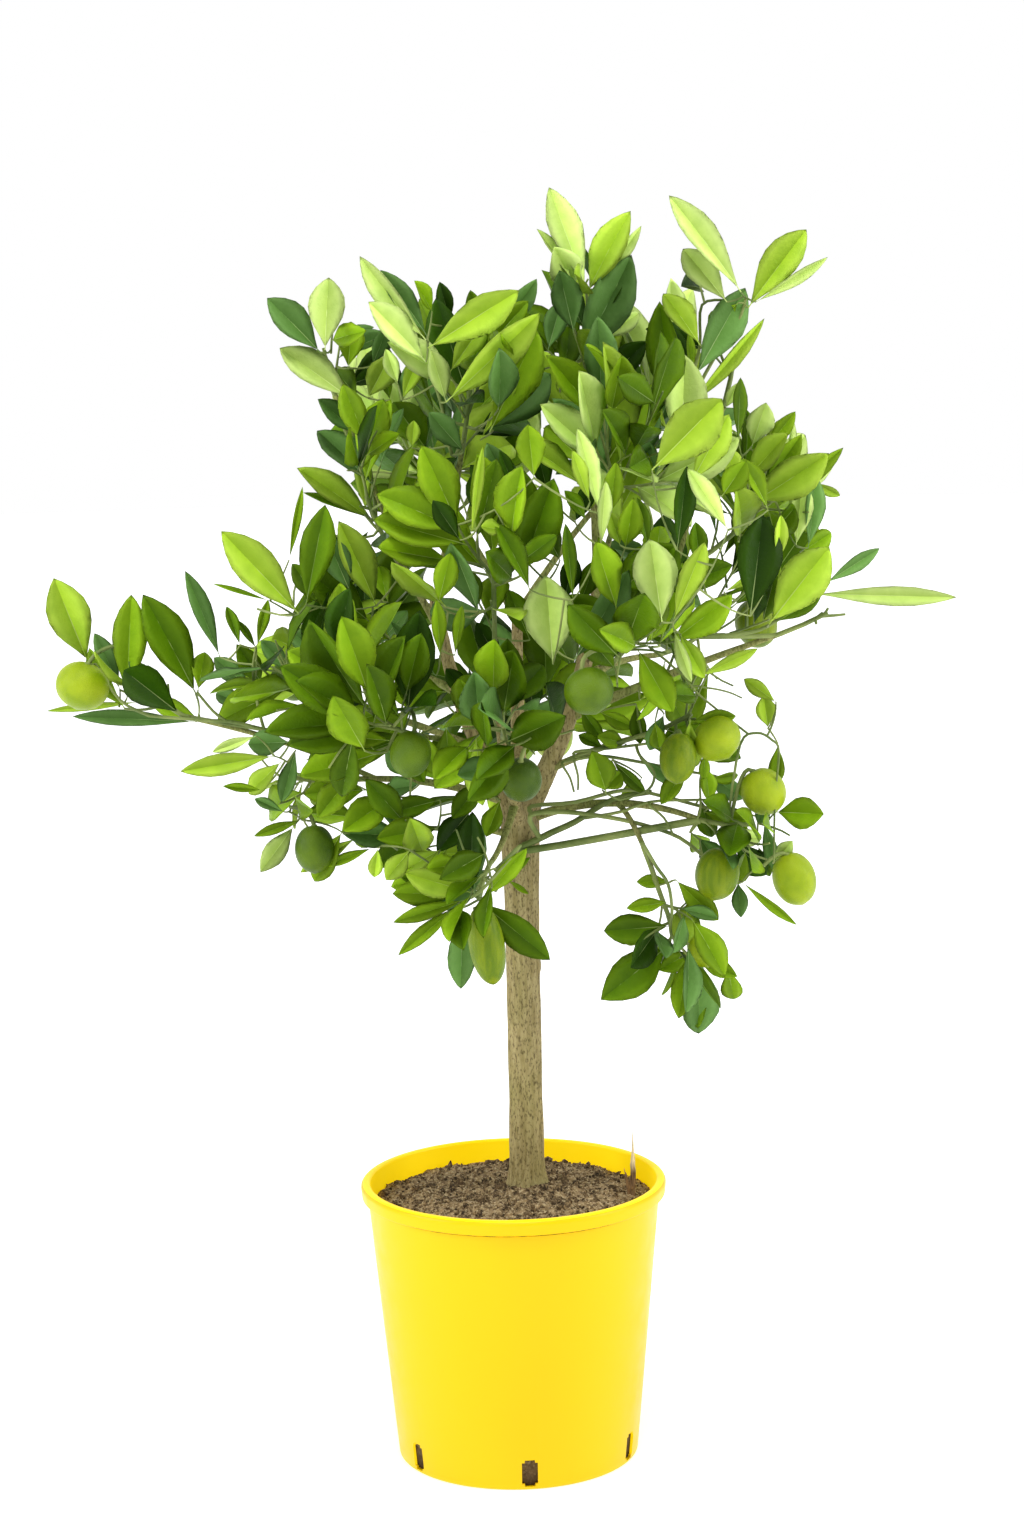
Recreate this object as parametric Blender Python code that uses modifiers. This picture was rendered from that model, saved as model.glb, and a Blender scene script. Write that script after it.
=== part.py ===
"""Limequat tree on a straight stem, standing in a round pot with drain slots.

Each sub-part is its own closed solid, in metres, with +Z up. The origin is the
middle of the pot's flat underside, and -Y is the front.
"""
import math
import random
from collections import namedtuple

import bmesh
import bpy
import numpy as np
from mathutils import Matrix, Vector
from mathutils.geometry import interpolate_bezier

UP = Vector((0.0, 0.0, 1.0))
GAP = 0.0003                      # clearance between pieces that touch

# Pot: a tapered tub with a rolled lip and six drain slots round its foot
POT_HEIGHT = 0.222
POT_SIDES = 36
WALL = 0.002
FLOOR = 0.0025
FOOT_RADIUS = 0.095
SHOULDER_RADIUS = 0.1145          # body, just under the lip
LIP_RADIUS = 0.120
LIP_HEIGHT = 0.0118
LIP_ROUND = 0.0038
FOOT_ROUND = 0.003
SLOT_COUNT = 6
SLOT_WIDTH = 0.013
SLOT_BOTTOM = 0.003
SLOT_TOP = 0.025
FIRST_SLOT = math.radians(-85.0)

# Soil: fills the pot to a low mound round the stem
SOIL_TOP = 0.2145
SOIL_EDGE = 0.2025
MOUND_RADIUS = 0.060

# Dry stub: a dead shoot, snapped off and split, standing in the soil
STUB_FOOT = Vector((0.0935, -0.008, 0.196))
STUB_HEIGHT = 0.053
STUB_RADIUS = 0.0024
SHARD_HEIGHT = 0.027
SOCKET_DEPTH = 0.030

# Trunk: height above the soil and radius, from the flared foot to the domed fork
TRUNK_FOOT = Vector((0.011, 0.012, SOIL_TOP + GAP))
TRUNK_STATIONS = (
    (0.000, 0.0168), (0.007, 0.0149), (0.022, 0.0137), (0.075, 0.0133), (0.170, 0.0131),
    (0.235, 0.0136), (0.278, 0.0153), (0.298, 0.0150), (0.308, 0.0128), (0.314, 0.0085))
TRUNK_ROUND = 4                   # bevel resolution, for twelve sides

# Limbs: name, what carries it, how far along that, lean-to point, tip, end radii
Limb = namedtuple("Limb", "name carrier along lean tip thick thin")
LEADERS = (
    Limb("leader_right", "trunk", 0.93, (0.062, -0.004, 0.588), (0.078, 0.016, 0.705), 0.0082, 0.0050),
    Limb("leader_left", "trunk", 0.94, (-0.036, 0.010, 0.575), (-0.052, 0.028, 0.680), 0.0074, 0.0045),
    Limb("leader_back", "trunk", 0.94, (0.010, 0.070, 0.560), (0.012, 0.098, 0.660), 0.0068, 0.0042),
    Limb("leader_front", "trunk", 0.91, (0.004, -0.050, 0.545), (-0.006, -0.070, 0.610), 0.0050, 0.0036),
)
BOUGH_TIP_RADIUS = 0.0021
BOUGH_TAPER = 0.011               # radius gained for each metre back from the tip
LIMB_POINTS = 5

# Foliage masses. A mass has its own space: an ellipsoid (middle and half sizes), cut
# off by flat planes between it and its neighbours. rise bends its bough up or down,
# lift is above 0 where its leaves stand up and below 0 where they hang, and seed picks
# its growth. Each tip is a place that one of its leaves has to reach.
Mass = namedtuple("Mass", "name middle half carrier along rise lift leaf shoots seed tips")
MASSES = (
    # left side
    Mass("far_left", (-0.264, -0.040, 0.650), (0.088, 0.050, 0.062), "bough_left_low", 0.80, 0.06,
         1.6, 0.070, 1, 89, ((-0.338, -0.040, 0.706), (-0.248, -0.035, 0.708), (-0.290, -0.045, 0.690),
                            (-0.345, -0.005, 0.600))),
    Mass("left", (-0.165, -0.045, 0.645), (0.096, 0.078, 0.100), "leader_left", 0.35, 0.05,
         0.5, 0.078, 3, 292, ((-0.209, -0.045, 0.738), (-0.228, -0.045, 0.672), (-0.222, -0.040, 0.625))),
    Mass("left_low", (-0.172, -0.030, 0.545), (0.084, 0.074, 0.076), "trunk", 0.96, 0.12,
         -0.3, 0.072, 3, 149, ((-0.246, -0.030, 0.560), (-0.186, -0.030, 0.485),
                               (-0.160, -0.050, 0.470))),
    Mass("low_left", (-0.085, -0.050, 0.512), (0.084, 0.072, 0.064), "trunk", 0.88, 0.10,
         -0.2, 0.074, 4, 278, ((-0.130, -0.060, 0.464), (-0.090, -0.080, 0.458),
                               (-0.060, -0.070, 0.462))),
    Mass("low_front", (-0.022, -0.112, 0.466), (0.070, 0.054, 0.068), "leader_front", 0.25, -0.15,
         -0.2, 0.070, 0, 118, ((0.037, -0.112, 0.418), (-0.045, -0.138, 0.402), (-0.084, -0.112, 0.430),
                             (-0.080, -0.125, 0.462), (0.014, -0.125, 0.510), (-0.034, -0.135, 0.522))),
    Mass("front_left", (-0.100, -0.115, 0.628), (0.090, 0.080, 0.090), "leader_front", 0.60, 0.10,
         0.6, 0.084, 5, 76, ()),
    Mass("top_left", (-0.124, 0.000, 0.872), (0.066, 0.066, 0.074), "bough_left_high", 0.80, 0.05,
         1.0, 0.068, 2, 139, ((-0.169, 0.000, 0.915), (-0.128, 0.000, 0.926), (-0.164, 0.000, 0.876),
                            (-0.103, 0.000, 0.939))),
    Mass("left_high", (-0.100, -0.030, 0.780), (0.086, 0.082, 0.090), "leader_left", 0.85, 0.05,
         0.7, 0.078, 4, 223, ((-0.150, -0.030, 0.820), (-0.158, -0.030, 0.782))),
    # top
    Mass("top_mid", (-0.020, -0.045, 0.865), (0.098, 0.084, 0.088), "leader_left", 0.95, 0.05,
         0.8, 0.086, 4, 253, ((0.016, -0.040, 0.922), (-0.058, -0.030, 0.932))),
    Mass("top", (0.068, 0.000, 0.910), (0.072, 0.074, 0.098), "leader_right", 0.92, 0.03,
         0.9, 0.082, 3, 88, ((0.042, 0.000, 0.990), (0.096, 0.000, 0.972), (0.100, -0.020, 0.934))),
    Mass("top_right", (0.182, 0.010, 0.890), (0.086, 0.076, 0.104), "bough_right_high", 0.72, 0.06,
         0.8, 0.084, 3, 54, ((0.134, 0.010, 0.984), (0.235, 0.010, 0.957), (0.172, 0.010, 0.935),
                            (0.215, -0.020, 0.885))),
    Mass("high_mid", (0.090, -0.080, 0.800), (0.092, 0.084, 0.104), "leader_right", 0.78, 0.06,
         0.6, 0.086, 6, 141, ()),
    # right side
    Mass("right_high", (0.198, -0.020, 0.765), (0.086, 0.084, 0.096), "leader_right", 0.70, 0.08,
         0.5, 0.078, 3, 31, ((0.262, -0.010, 0.788), (0.226, -0.020, 0.830), (0.256, -0.020, 0.730),
                            (0.196, -0.020, 0.830))),
    Mass("right", (0.246, -0.040, 0.672), (0.104, 0.066, 0.060), "leader_right", 0.45, 0.02,
         0.2, 0.082, 2, 167, ((0.343, -0.040, 0.680), (0.290, -0.020, 0.716), (0.262, -0.060, 0.706),
                            (0.240, -0.050, 0.640))),
    Mass("front_mid", (-0.005, -0.095, 0.735), (0.096, 0.086, 0.100), "leader_front", 0.98, 0.04,
         0.5, 0.084, 6, 150, ()),
    Mass("front_right", (0.098, -0.115, 0.680), (0.092, 0.084, 0.092), "leader_right", 0.50, 0.06,
         0.5, 0.086, 5, 169, ()),
    Mass("front_low", (0.000, -0.120, 0.605), (0.088, 0.076, 0.082), "leader_front", 0.75, -0.04,
         0.2, 0.078, 5, 260, ()),
    Mass("right_mid", (0.142, -0.045, 0.598), (0.082, 0.076, 0.068), "leader_right", 0.22, 0.05,
         0.2, 0.070, 3, 126, ((0.208, -0.050, 0.602), (0.160, -0.040, 0.640))),
    Mass("right_low", (0.188, -0.040, 0.500), (0.074, 0.066, 0.072), "trunk", 0.92, 0.20,
         -0.4, 0.066, 2, 294, ((0.243, -0.040, 0.514), (0.222, -0.082, 0.432), (0.182, -0.040, 0.438),
                             (0.140, -0.050, 0.530))),
    Mass("hanging", (0.128, -0.055, 0.408), (0.066, 0.054, 0.066), "bough_right_low", 0.55, 0.25,
         -1.0, 0.068, 0, 120, ((0.147, -0.055, 0.348), (0.074, -0.055, 0.376), (0.076, -0.060, 0.425),
                             (0.178, -0.025, 0.375), (0.122, -0.045, 0.362), (0.160, -0.055, 0.440))),
    # behind
    Mass("back_left", (-0.145, 0.120, 0.660), (0.105, 0.095, 0.115), "leader_left", 0.62, 0.08,
         0.6, 0.086, 5, 194, ()),
    Mass("back_low", (0.020, 0.165, 0.575), (0.120, 0.092, 0.092), "leader_back", 0.45, 0.05,
         -0.1, 0.084, 5, 50, ()),
    Mass("back_top_left", (-0.050, 0.115, 0.800), (0.105, 0.095, 0.110), "leader_back", 0.95, 0.05,
         0.7, 0.086, 5, 238, ()),
    Mass("back_top_right", (0.115, 0.115, 0.820), (0.100, 0.095, 0.105), "leader_back", 0.97, 0.08,
         0.7, 0.086, 5, 153, ()),
    Mass("back_right", (0.165, 0.115, 0.655), (0.105, 0.095, 0.115), "leader_right", 0.60, 0.08,
         0.5, 0.086, 5, 76, ()),
)

# Twigs and leaves
TWIG_RADIUS = 0.0014
TWIG_TIP_RADIUS = 0.0009
STEM_TIP_RADIUS = 0.0018
STEM_POINTS = 3
STEM_STRAIGHT = 0.004             # a stem's first stretch, square to its bough's end
SHOOT_POINTS = 2
STALK_POINTS = 3
LEAF_SEED = 1000
GOLDEN = math.radians(137.508)
LEAF_WIDTH = 0.60                 # of its length
LEAF_WIDEST = 0.45                # how far along the leaf that is
LEAF_THICKNESS = 0.024            # of its length
LEAF_FOLD = 0.20                  # how far its halves stand up, of its half width
LEAF_TRIES = ((1.0, 0.0), (1.0, 0.8), (1.0, -0.8), (0.85, 0.0), (0.85, 1.6), (0.75, -1.6))
SHOOTS_APART = 0.45               # of a leaf's length, between the ends of two shoots
LEAF_LIFT = 0.6                   # pull of a mass's lift on its leaves' directions
FACE_SIDEWAYS = 0.45              # how far leaves face to the sides, against front and back
# Leaves of a shoot, from its tip down: how far along it, how wide they open, their size
LEAF_PLACES = ((0.99, 0.12, 1.10), (0.88, 0.65, 1.0), (0.75, 0.80, 1.0), (0.60, 0.95, 0.95),
               (0.42, 1.05, 0.90))
LEAF_APART = 0.0030               # leaves of one mass keep about this far apart
CLEAR = 0.0006                    # foliage keeps this far from limbs and from the planes

# Fruit: which mass holds it, its middle, diameter, length, and where its stalk end points
Fruit = namedtuple("Fruit", "mass middle diameter length stalk")
FRUITS = (
    Fruit("far_left", (-0.318, -0.040, 0.625), 0.041, 0.036, (0.3, 0.0, 1.0)),
    Fruit("low_front", (-0.016, -0.112, 0.434), 0.027, 0.060, (-0.15, 0.0, 1.0)),
    Fruit("front_left", (-0.068, -0.150, 0.585), 0.030, 0.034, (0.2, 0.3, 1.0)),
    Fruit("front_right", (0.062, -0.160, 0.630), 0.036, 0.034, (-0.3, 0.3, 1.0)),
    Fruit("front_low", (0.012, -0.100, 0.556), 0.031, 0.033, (0.0, -0.4, 1.0)),
    Fruit("right_mid", (0.160, -0.062, 0.578), 0.037, 0.033, (-0.6, 0.2, 1.0)),
    Fruit("right_mid", (0.130, -0.075, 0.566), 0.028, 0.038, (0.1, 0.3, 1.0)),
    Fruit("right_low", (0.160, -0.050, 0.472), 0.034, 0.040, (0.2, 0.1, 1.0)),
    Fruit("right_low", (0.219, -0.045, 0.466), 0.033, 0.041, (-0.3, 0.0, 1.0)),
    Fruit("right_low", (0.196, -0.045, 0.534), 0.034, 0.036, (-0.5, 0.1, 1.0)),
    Fruit("hanging", (0.148, -0.060, 0.415), 0.024, 0.026, (-0.3, 0.0, 1.0)),
    Fruit("left_low", (-0.145, -0.062, 0.500), 0.030, 0.036, (0.0, 0.2, 1.0)),
    Fruit("back_low", (0.040, 0.215, 0.540), 0.034, 0.040, (0.0, -0.4, 1.0)),
    Fruit("back_left", (-0.170, 0.165, 0.600), 0.033, 0.038, (0.2, -0.2, 1.0)),
    Fruit("back_top_left", (-0.050, 0.170, 0.750), 0.034, 0.039, (0.1, -0.4, 1.0)),
    Fruit("back_right", (0.205, 0.140, 0.640), 0.034, 0.040, (-0.3, -0.2, 1.0)),
)
STALK_SINK = 0.004

Twig = namedtuple("Twig", "points thick thin tip", defaults=(None,))
Leaf = namedtuple("Leaf", "base along face length width")


# ---------------------------------------------------------------- where things grow

def arc(start, lean, end, steps):
    """Points on the smooth curve from start to end that leans towards one point."""
    return interpolate_bezier(start, start.lerp(lean, 2 / 3), end.lerp(lean, 2 / 3), end, steps)


def spot(points, share):
    """The place and heading at a share of the way along a line of points."""
    place = min(max(share, 0.0), 1.0) * (len(points) - 1)
    first = min(int(place), len(points) - 2)
    step = points[first + 1] - points[first]
    return points[first] + step * (place - first), step.normalized()


def balls_along(points, thick, thin, spacing=0.003):
    """Balls (x, y, z, radius) that fill a tapering limb, for the clearance tests."""
    balls = []
    for index, (a, b) in enumerate(zip(points, points[1:])):
        count = max(1, math.ceil((b - a).length / spacing))
        for k in range(count + 1):
            share = (index + k / count) / (len(points) - 1)
            balls.append((*a.lerp(b, k / count), thick + (thin - thick) * share))
    return balls


def mean_half(mass):
    return sum(mass.half) / 3


def planes_round(mass):
    """The flat planes (outward normal and distance) between a mass and the others."""
    middle = np.array(mass.middle)
    planes = []
    for other in MASSES:
        if other.name == mass.name:
            continue
        across = np.array(other.middle) - middle
        apart = np.linalg.norm(across)
        reach = (apart ** 2 + mean_half(mass) ** 2 - mean_half(other) ** 2) / (2 * apart)
        planes.append((*(across / apart), across @ middle / apart + reach))
    return np.array(planes)


PLANES = {mass.name: planes_round(mass) for mass in MASSES}


def in_space(mass, points, to_tip=False):
    """Whether all the points lie in the mass's space. What grows to a tip may leave the
    ellipsoid, but not cross a plane."""
    points = np.array(points)
    scaled = (points - np.array(mass.middle)) / np.array(mass.half)
    planes = PLANES[mass.name]
    inside = to_tip or ((scaled ** 2).sum(axis=1) <= 1.0).all()
    return bool(inside and (points @ planes[:, :3].T <= planes[:, 3] - CLEAR).all())


def heart_of(mass):
    """Where a mass's shoots spread from: low if its leaves stand up, high if they hang."""
    return Vector(mass.middle) - UP * (0.42 * mass.lift * mass.half[2])


def grow_limbs():
    """Every limb's line of points and end radii: the trunk, the leaders, the boughs."""
    limbs = {"trunk": Twig([TRUNK_FOOT + UP * height for height, _ in TRUNK_STATIONS],
                           TRUNK_STATIONS[1][1], TRUNK_STATIONS[-2][1])}
    for leader in LEADERS:
        start = TRUNK_FOOT + UP * (TRUNK_STATIONS[-1][0] * leader.along)
        line = arc(start, Vector(leader.lean), Vector(leader.tip), LIMB_POINTS + 1)
        limbs[leader.name] = Twig(line, leader.thick, leader.thin)
    waiting = list(MASSES)
    while waiting:
        mass = waiting.pop(0)
        if mass.carrier not in limbs:
            waiting.append(mass)
            continue
        limbs["bough_" + mass.name] = grow_bough(mass, limbs[mass.carrier])
    return limbs


def grow_bough(mass, carrier):
    """The bough from its carrier to the place where it enters the mass's space."""
    if mass.carrier == "trunk":
        start = TRUNK_FOOT + UP * (TRUNK_STATIONS[-1][0] * mass.along)
    else:
        start = spot(carrier.points, mass.along)[0]
    heart = heart_of(mass)
    entry = heart
    for step in range(1, 40):
        trial = heart.lerp(start, step / 40)
        if not in_space(mass, [trial]) or (trial - heart).length > 0.62 * mean_half(mass):
            break
        entry = trial
    span = (entry - start).length
    lean = start.lerp(entry, 0.5) + UP * (mass.rise * span)
    line = arc(start, lean, entry, LIMB_POINTS)
    limit = 0.7 * (carrier.thick + (carrier.thin - carrier.thick) * mass.along)
    return Twig(line, min(BOUGH_TIP_RADIUS + BOUGH_TAPER * span, limit), BOUGH_TIP_RADIUS)


def touches(balls, points, radii):
    """Whether a row of balls along a twig comes too near any of the others."""
    points = np.array(points)
    apart = np.linalg.norm(points[:, None, :] - balls[None, :, :3], axis=2)
    return bool((apart < np.array(radii)[:, None] + balls[None, :, 3] + CLEAR).any())


def edge_of_space(mass, start, heading):
    """How far a line runs from start before it leaves the mass's ellipsoid."""
    half = np.array(mass.half)
    o = (np.array(start) - np.array(mass.middle)) / half
    d = np.array(heading) / half
    a, b, c = d @ d, o @ d, o @ o - 1.0
    return (-b + math.sqrt(max(b * b - a * c, 0.0))) / a


def grow_twigs(mass, limbs, balls):
    """The mass's stem and its shoots, as a list of twigs with the stem first."""
    rng = random.Random(mass.seed)
    bough = limbs["bough_" + mass.name]
    root, heading = spot(bough.points, 1.0)
    root = root + heading * GAP
    heart = heart_of(mass)
    straight = root + heading * STEM_STRAIGHT
    lean = root + heading * (0.5 * (heart - root).length)
    top = heart + UP * (0.15 * mass.lift * mass.half[2])
    stem = Twig([root] + arc(straight, lean, top, STEM_POINTS), BOUGH_TIP_RADIUS, STEM_TIP_RADIUS)
    back = (root - heart).normalized()
    goals = [(Vector(tip), True) for tip in mass.tips]
    turn = rng.uniform(0.0, math.tau)
    tries = mass.shoots * 3
    for k in range(tries):
        height = 1.0 - (2 * k + 1) / tries
        ring = math.sqrt(1.0 - height * height)
        side = turn + k * GOLDEN
        heading = Vector((ring * math.cos(side), ring * math.sin(side), height + 0.25 * mass.lift))
        heading.normalize()
        if heading.dot(back) < 0.6:
            goals.append((heart + heading * edge_of_space(mass, heart, heading), False))
    named = len(mass.tips)
    goals[named:] = rng.sample(goals[named:], len(goals) - named)
    twigs = [stem]
    for goal, is_tip in goals:
        if len(twigs) > mass.shoots + named:
            break
        start, along = spot(stem.points, rng.uniform(0.60, 0.98))
        reach = (goal - start).length
        length = max(reach - 0.8 * mass.leaf, 0.3 * reach)
        end = start.lerp(goal, length / reach)
        lean = start.lerp(end, 0.45) + (along - UP * (0.3 * mass.lift)) * (0.22 * length)
        line = arc(start, lean, end, SHOOT_POINTS)
        probe = [start.lerp(end, 0.3)] + line[1:]
        apart = min([(end - other.points[-1]).length for other in twigs[1:]] + [reach])
        if in_space(mass, probe, is_tip) and not touches(balls, probe, [TWIG_RADIUS] * len(probe)):
            if is_tip or apart > SHOOTS_APART * mass.leaf:
                twigs.append(Twig(line, TWIG_RADIUS, TWIG_TIP_RADIUS, goal if is_tip else None))
    return twigs


def frame_of(along, face):
    """Side, face and along directions at right angles, for a leaf."""
    along = along.normalized()
    face = (face - along * face.dot(along)).normalized()
    return face.cross(along), face, along


def outward(place):
    """The level direction away from the stem's line, drawn towards the front or back."""
    away = place - TRUNK_FOOT
    return Vector((FACE_SIDEWAYS * away.x, away.y, 0.0)).normalized()


def leaf_balls(leaf):
    """Balls spread over a leaf's blade, which keep later leaves from cutting through it."""
    side, face, along = frame_of(leaf.along, leaf.face)
    balls = []
    for share in (0.3, 0.5, 0.7, 0.9):
        spread = min(share / LEAF_WIDEST, (1.0 - share) / (1.0 - LEAF_WIDEST)) * leaf.width / 2
        for out in (-0.6, 0.0, 0.6):
            place = (leaf.base + along * (share * leaf.length) + side * (out * spread)
                     + face * (abs(out) * spread * LEAF_FOLD))
            balls.append((*place, LEAF_APART))
    return balls


def leaf_fits(mass, leaf, balls, to_tip):
    """Whether a leaf stays in its space, clear of limbs, fruit and the leaves before it."""
    side, face, along = frame_of(leaf.along, leaf.face)
    half = side * (leaf.width / 2)
    rise = face * (LEAF_FOLD * leaf.width / 2)
    middle = leaf.base + along * (LEAF_WIDEST * leaf.length)
    tip = leaf.base + along * leaf.length
    if not in_space(mass, [middle + half + rise, middle - half + rise, tip, middle], to_tip):
        return False
    offset = balls[:, :3] - np.array(leaf.base)
    run = offset @ np.array(along)
    out = np.abs(offset @ np.array(side))
    lift = offset @ np.array(face)
    share = np.clip(run / leaf.length, 0.0, 1.0)
    spread = np.minimum(share / LEAF_WIDEST, (1.0 - share) / (1.0 - LEAF_WIDEST))
    spread = spread * leaf.width / 2
    near = balls[:, 3] + CLEAR + LEAF_THICKNESS * leaf.length / 2
    fold = LEAF_FOLD * np.minimum(out, spread)
    hits = (run > -near) & (run < leaf.length + near) & (out < spread + near)
    return not bool((hits & (np.abs(lift - fold) < near)).any())


def grow_leaves(mass, twigs, balls):
    """A leaf at the end of each shoot, then more down it in turns of the golden angle."""
    rng = random.Random(mass.seed + LEAF_SEED)
    shoots = twigs[1:] + twigs[:1]
    turns = [rng.uniform(0.0, math.tau) for _ in shoots]
    others = [np.array([ball for twig in twigs if twig is not shoot
                        for ball in balls_along(*twig[:3])]) for shoot in shoots]
    places = [(k, 0) for k in range(len(shoots))]
    places += [(k, n) for k in range(len(shoots)) for n in range(1, len(LEAF_PLACES))]
    leaves = []
    for k, n in places:
        share, opening, size = LEAF_PLACES[n]
        base, heading = spot(shoots[k].points, share)
        to_tip = n == 0 and shoots[k].tip is not None
        size = mass.leaf * size * rng.uniform(0.88, 1.12)
        width = LEAF_WIDTH * rng.uniform(0.9, 1.08)
        opening = opening * rng.uniform(0.8, 1.15)
        lift = LEAF_LIFT * mass.lift * rng.uniform(0.6, 1.2)
        roll = rng.uniform(-0.7, 0.7)
        for shrink, nudge in LEAF_TRIES:
            if to_tip:
                along = shoots[k].tip - base
                size = along.length
                turned_by = roll + nudge
            else:
                across = heading.orthogonal().normalized()
                across.rotate(Matrix.Rotation(turns[k] + n * GOLDEN + nudge, 3, heading))
                along = heading * math.cos(opening) + across * math.sin(opening) + UP * lift
                turned_by = roll
            along.normalize()
            face = outward(base + along * size / 2) * 0.9 + UP * 0.5 + heading * 0.4
            face.rotate(Matrix.Rotation(turned_by, 3, along))
            leaf = Leaf(base, along, face, size * shrink, size * shrink * width)
            if leaf_fits(mass, leaf, np.vstack((balls, others[k])), to_tip):
                leaves.append(leaf)
                balls = np.vstack((balls, leaf_balls(leaf)))
                break
    return leaves


def grow_stalk(fruit, twigs):
    """The stalk from the nearest place on the mass's twigs to the fruit's top."""
    axis = Vector(fruit.stalk).normalized()
    top = Vector(fruit.middle) + axis * (fruit.length / 2 - STALK_SINK)
    spots = [spot(twig.points, n / 12)[0] for twig in twigs for n in range(1, 12)]
    start = min(spots, key=lambda place: (place - top).length)
    lean = top + axis * (0.5 * (start - top).length)
    return Twig(arc(start, lean, top, STALK_POINTS), TWIG_RADIUS, TWIG_RADIUS)


# ---------------------------------------------------------------- making the solids

def clear_scene():
    for thing in list(bpy.data.objects):
        bpy.data.objects.remove(thing, do_unlink=True)


def make_collection(name):
    collection = bpy.data.collections.new(name)
    bpy.context.scene.collection.children.link(collection)
    return collection


def make_material(name, colour, roughness):
    """A Principled material in a plain colour, given as red, green and blue."""
    material = bpy.data.materials.new(name)
    material.use_nodes = True
    shader = material.node_tree.nodes["Principled BSDF"]
    shader.inputs["Base Color"].default_value = (*colour, 1.0)
    shader.inputs["Roughness"].default_value = roughness
    shader.inputs["Metallic"].default_value = 0.0
    return material


def object_from(bm, name, collection):
    """A new object that takes a bmesh's shape."""
    mesh = bpy.data.meshes.new(name)
    bm.to_mesh(mesh)
    bm.free()
    made = bpy.data.objects.new(name, mesh)
    collection.objects.link(made)
    return made


def primitive(add, name, collection, **sizes):
    """One of Blender's primitives, named and moved to its collection."""
    add(**sizes)
    made = bpy.context.active_object
    made.name = name
    for holder in list(made.users_collection):
        holder.objects.unlink(made)
    collection.objects.link(made)
    return made


def finish(made, material, smooth=True):
    """Gives a sub-part its material and its shading."""
    made.data.materials.clear()
    made.data.materials.append(material)
    if smooth:
        made.data.shade_smooth()
        made.data.set_sharp_from_angle(angle=math.radians(40.0))


def apply_modifiers(made):
    """Replaces an object's mesh by its evaluated one and drops its modifiers."""
    graph = bpy.context.evaluated_depsgraph_get()
    mesh = bpy.data.meshes.new_from_object(made.evaluated_get(graph))
    made.modifiers.clear()
    made.data = mesh
    mesh.name = made.name


def turned(name, profile, sides, collection):
    """A solid turned about Z from a profile that runs down its outer side."""
    bm = bmesh.new()
    verts = [bm.verts.new((radius, 0.0, height)) for radius, height in profile]
    for a, b in zip(verts, verts[1:]):
        bm.edges.new((a, b))
    made = object_from(bm, name, collection)
    screw = made.modifiers.new("turn", "SCREW")
    screw.steps = sides
    screw.render_steps = sides
    screw.use_merge_vertices = True
    screw.merge_threshold = 0.00001
    apply_modifiers(made)
    return made


def cut(made, cutters):
    """Takes the cutters' shapes out of an object."""
    for cutter in cutters:
        cutter.hide_render = True
        cutter.display_type = "WIRE"
        boolean = made.modifiers.new("cut", "BOOLEAN")
        boolean.operation = "DIFFERENCE"
        boolean.object = cutter
    apply_modifiers(made)
    for cutter in cutters:
        bpy.data.objects.remove(cutter, do_unlink=True)


def tube(name, points, radii, collection, resolution=1, section=None):
    """A tapering limb: a curve with a round or a given section, made a closed mesh."""
    curve = bpy.data.curves.new(name, "CURVE")
    curve.dimensions = "3D"
    curve.use_fill_caps = True
    if section is None:
        curve.bevel_depth = 1.0
        curve.bevel_resolution = resolution
    else:
        curve.bevel_mode = "OBJECT"
        curve.bevel_object = section
    spline = curve.splines.new("POLY")
    spline.points.add(len(points) - 1)
    for place, point, radius in zip(spline.points, points, radii):
        place.co = (*point, 1.0)
        place.radius = radius
    guide = bpy.data.objects.new(name + "_line", curve)
    collection.objects.link(guide)
    graph = bpy.context.evaluated_depsgraph_get()
    mesh = bpy.data.meshes.new_from_object(guide.evaluated_get(graph))
    bm = bmesh.new()
    bm.from_mesh(mesh)
    bmesh.ops.remove_doubles(bm, verts=bm.verts, dist=0.00001)
    bmesh.ops.recalc_face_normals(bm, faces=bm.faces)
    made = object_from(bm, name, collection)
    made.matrix_world = guide.matrix_world
    bpy.data.objects.remove(guide, do_unlink=True)
    bpy.data.meshes.remove(mesh)
    return made


def taper(limb, extra=0.0):
    """A limb's radius at each of its points."""
    last = len(limb.points) - 1
    return [limb.thick + (limb.thin - limb.thick) * n / last + extra for n in range(last + 1)]


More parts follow.
